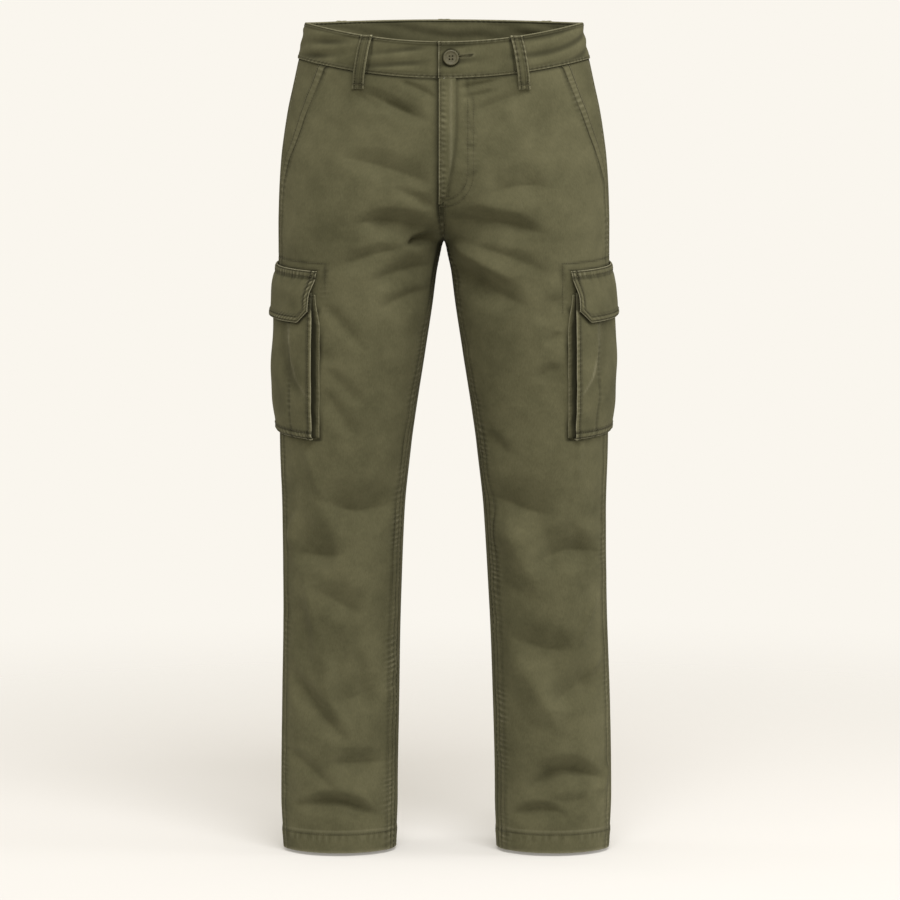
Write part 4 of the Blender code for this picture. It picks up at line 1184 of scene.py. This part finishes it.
# Moulded polyester resin, olive brown and faintly marbled, with a dull polish.
resin, resin_shader = new_material("marbled_horn_resin", 0.42, 0.4)
join(resin, resin_shader, "Base Color",
     patches(resin, (0.3, 0.7), ("#474430", "#5b5841"), Scale=210.0, Detail=4.0, Distortion=1.5),
     "Color")

button = bmesh.new()
corners = [button.verts.new((radius * MM, 0.0, height * MM)) for radius, height in BUTTON_PROFILE]
outline = [button.edges.new(pair) for pair in zip(corners, corners[1:])]
bmesh.ops.spin(button, geom=corners + outline, cent=(0.0, 0.0, 0.0), axis=(0.0, 0.0, 1.0),
               dvec=(0.0, 0.0, 0.0), angle=2.0 * pi, steps=48, use_merge=True)
holes = []
for height in (BUTTON_PROFILE[0][1], BUTTON_PROFILE[-1][1]):
    rim = [edge for edge in button.edges if all(
        abs(v.co.z - height * MM) < 1e-6 and abs(v.co.length_squared - v.co.z ** 2
                                                 - (BUTTON_WELL * MM) ** 2) < 1e-9
        for v in edge.verts)]
    for index in range(4):
        angle = radians(45.0 + 90.0 * index)
        spot = Vector((cos(angle), sin(angle), 0.0)) * BUTTON_HOLE_OUT * MM
        spot.z = height * MM
        ring = bmesh.ops.create_circle(button, cap_ends=False, segments=14,
                                       radius=BUTTON_HOLE * MM,
                                       matrix=Matrix.Translation(spot))["verts"]
        holes.append(list(dict.fromkeys(edge for v in ring for edge in v.link_edges)))
        rim += holes[-1]
    bmesh.ops.triangle_fill(button, edges=rim, use_beauty=True)
for upper, lower in zip(holes[:4], holes[4:]):
    bmesh.ops.bridge_loops(button, edges=upper + lower)
bmesh.ops.recalc_face_normals(button, faces=button.faces)
seat = waist_point(BUTTON_X, 0.0, BAND_PROUD + LAY_GAP + BUTTON_THICK / 2.0 + 0.3)
sideways = Vector(waist_point(BUTTON_X + 1.0, 0.0) - waist_point(BUTTON_X - 1.0, 0.0))
upwards = Vector(waist_point(BUTTON_X, 5.0) - waist_point(BUTTON_X, -5.0))
sideways.normalize()
outwards = sideways.cross(upwards).normalized()
upwards = outwards.cross(sideways)
facing = Matrix((sideways, upwards, outwards)).transposed().to_4x4()
bmesh.ops.transform(button, matrix=Matrix.Translation(Vector(seat)) @ facing, verts=button.verts)
button_mesh = bpy.data.meshes.new("waist_button_resin")
button.to_mesh(button_mesh)
button.free()
button_piece = garment_piece("waist_button_resin", button_mesh, resin)
button_mesh.set_sharp_from_angle(angle=radians(38.0))
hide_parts("waist_button")

bars = []
for height in (-BUTTON_HOLE_OUT, BUTTON_HOLE_OUT):
    ends = [Vector((x, height * sin(pi / 4.0), BUTTON_PROFILE[0][1] + 0.1)) * MM
            for x in (-2.9, 2.9)]
    path = np.array([Vector(seat) + facing.to_3x3() @ end for end in ends])
    bars.append(sew(path, np.array([outwards, outwards]), pitch=5.6, long=4.6, wide=1.0))
thread_piece("waist_button_thread", bars)

# ---- Studio -----------------------------------------------------------------------------------
# A round pale floor that fades out into an even cream sky, a wide soft key light high in front, a
# fill from the right and a weak one from the left. The sky lights less than it shows, so that
# creases read.
FLOOR_MIDDLE = 0.55
FLOOR_RADIUS = 2.2
FLOOR_DROP = 0.004
floor, floor_shader = new_material("painted_studio_floor", 0.95, 0.0)
floor_shader.inputs["Base Color"].default_value = linear("#e8e9eb")
floor_shader.inputs["Emission Color"].default_value = linear("#fff6e8")
floor_shader.inputs["Emission Strength"].default_value = 0.14
floor_place = add_node(floor, "TexCoord")
from_middle = add_node(floor, "Mapping", [("Vector", floor_place, "Object")],
                       Location=(0.0, -FLOOR_MIDDLE, -HEM * MM))
floor_far = add_node(floor, "VectorMath", [(0, from_middle, "Vector")], operation="LENGTH")
floor_fade = add_node(floor, "MapRange", [("Value", floor_far, "Value")],
                      interpolation_type="SMOOTHSTEP", From_Min=0.1, From_Max=2.1,
                      To_Min=1.0, To_Max=0.0)
join(floor, floor_shader, "Alpha", floor_fade, "Result")
disc = bmesh.new()
bmesh.ops.create_circle(disc, cap_ends=True, segments=64, radius=FLOOR_RADIUS,
                        matrix=Matrix.Translation((0.0, FLOOR_MIDDLE, HEM * MM - FLOOR_DROP)))
disc_mesh = bpy.data.meshes.new("studio_floor")
disc.to_mesh(disc_mesh)
disc.free()
disc_mesh.materials.append(floor)
placed("studio_floor", disc_mesh)

Lamp = namedtuple("Lamp", "name place width height power")
LAMP_AIM = Vector((0.0, 0.0, -0.5))
for lamp in (Lamp("key", (0.45, -2.3, 2.2), 2.2, 1.8, 90.0),
             Lamp("right", (3.5, -0.3, 0.0), 1.3, 1.3, 36.0),
             Lamp("left", (-2.9, 0.5, 1.5), 1.3, 1.3, 11.0)):
    panel = bpy.data.lights.new(lamp.name, "AREA")
    panel.shape = "RECTANGLE"
    panel.size, panel.size_y, panel.energy = lamp.width, lamp.height, lamp.power
    panel.color = linear("#fffcf9")[:3]
    light = placed(lamp.name, panel)
    light.location = lamp.place
    light.rotation_euler = (LAMP_AIM - light.location).to_track_quat("-Z", "Y").to_euler()

# The camera sees an even pale sky; the cloth is lit by a dimmer, warmer one.
world = bpy.data.worlds.new("studio_sky")
world.use_nodes = True
sky_shown = world.node_tree.nodes["Background"]
sky_light = add_node(world, "Background", Color=linear("#f8f0e0"), Strength=0.6)
seen = add_node(world, "LightPath")
sky = add_node(world, "MixShader", [(0, seen, "Is Camera Ray"), (1, sky_light, 0),
                                    (2, sky_shown, 0)])
join(world, world.node_tree.nodes["World Output"], "Surface", sky, 0)
sky_shown.inputs["Color"].default_value = linear("#faf6ee")
sky_shown.inputs["Strength"].default_value = 1.0
bpy.context.scene.world = world
bpy.context.scene.view_settings.view_transform = "Standard"

LENS = 186.8
SENSOR_WIDTH = 36.0
CAMERA_PLACE = (0.0079, -6.1, -0.04)
CAMERA_DOWN = 4.66
lens = bpy.data.cameras.new("camera")
lens.lens, lens.sensor_width = LENS, SENSOR_WIDTH
camera = placed("camera", lens)
camera.location = CAMERA_PLACE
camera.rotation_euler = (radians(90.0 - CAMERA_DOWN), 0.0, 0.0)
bpy.context.scene.camera = camera
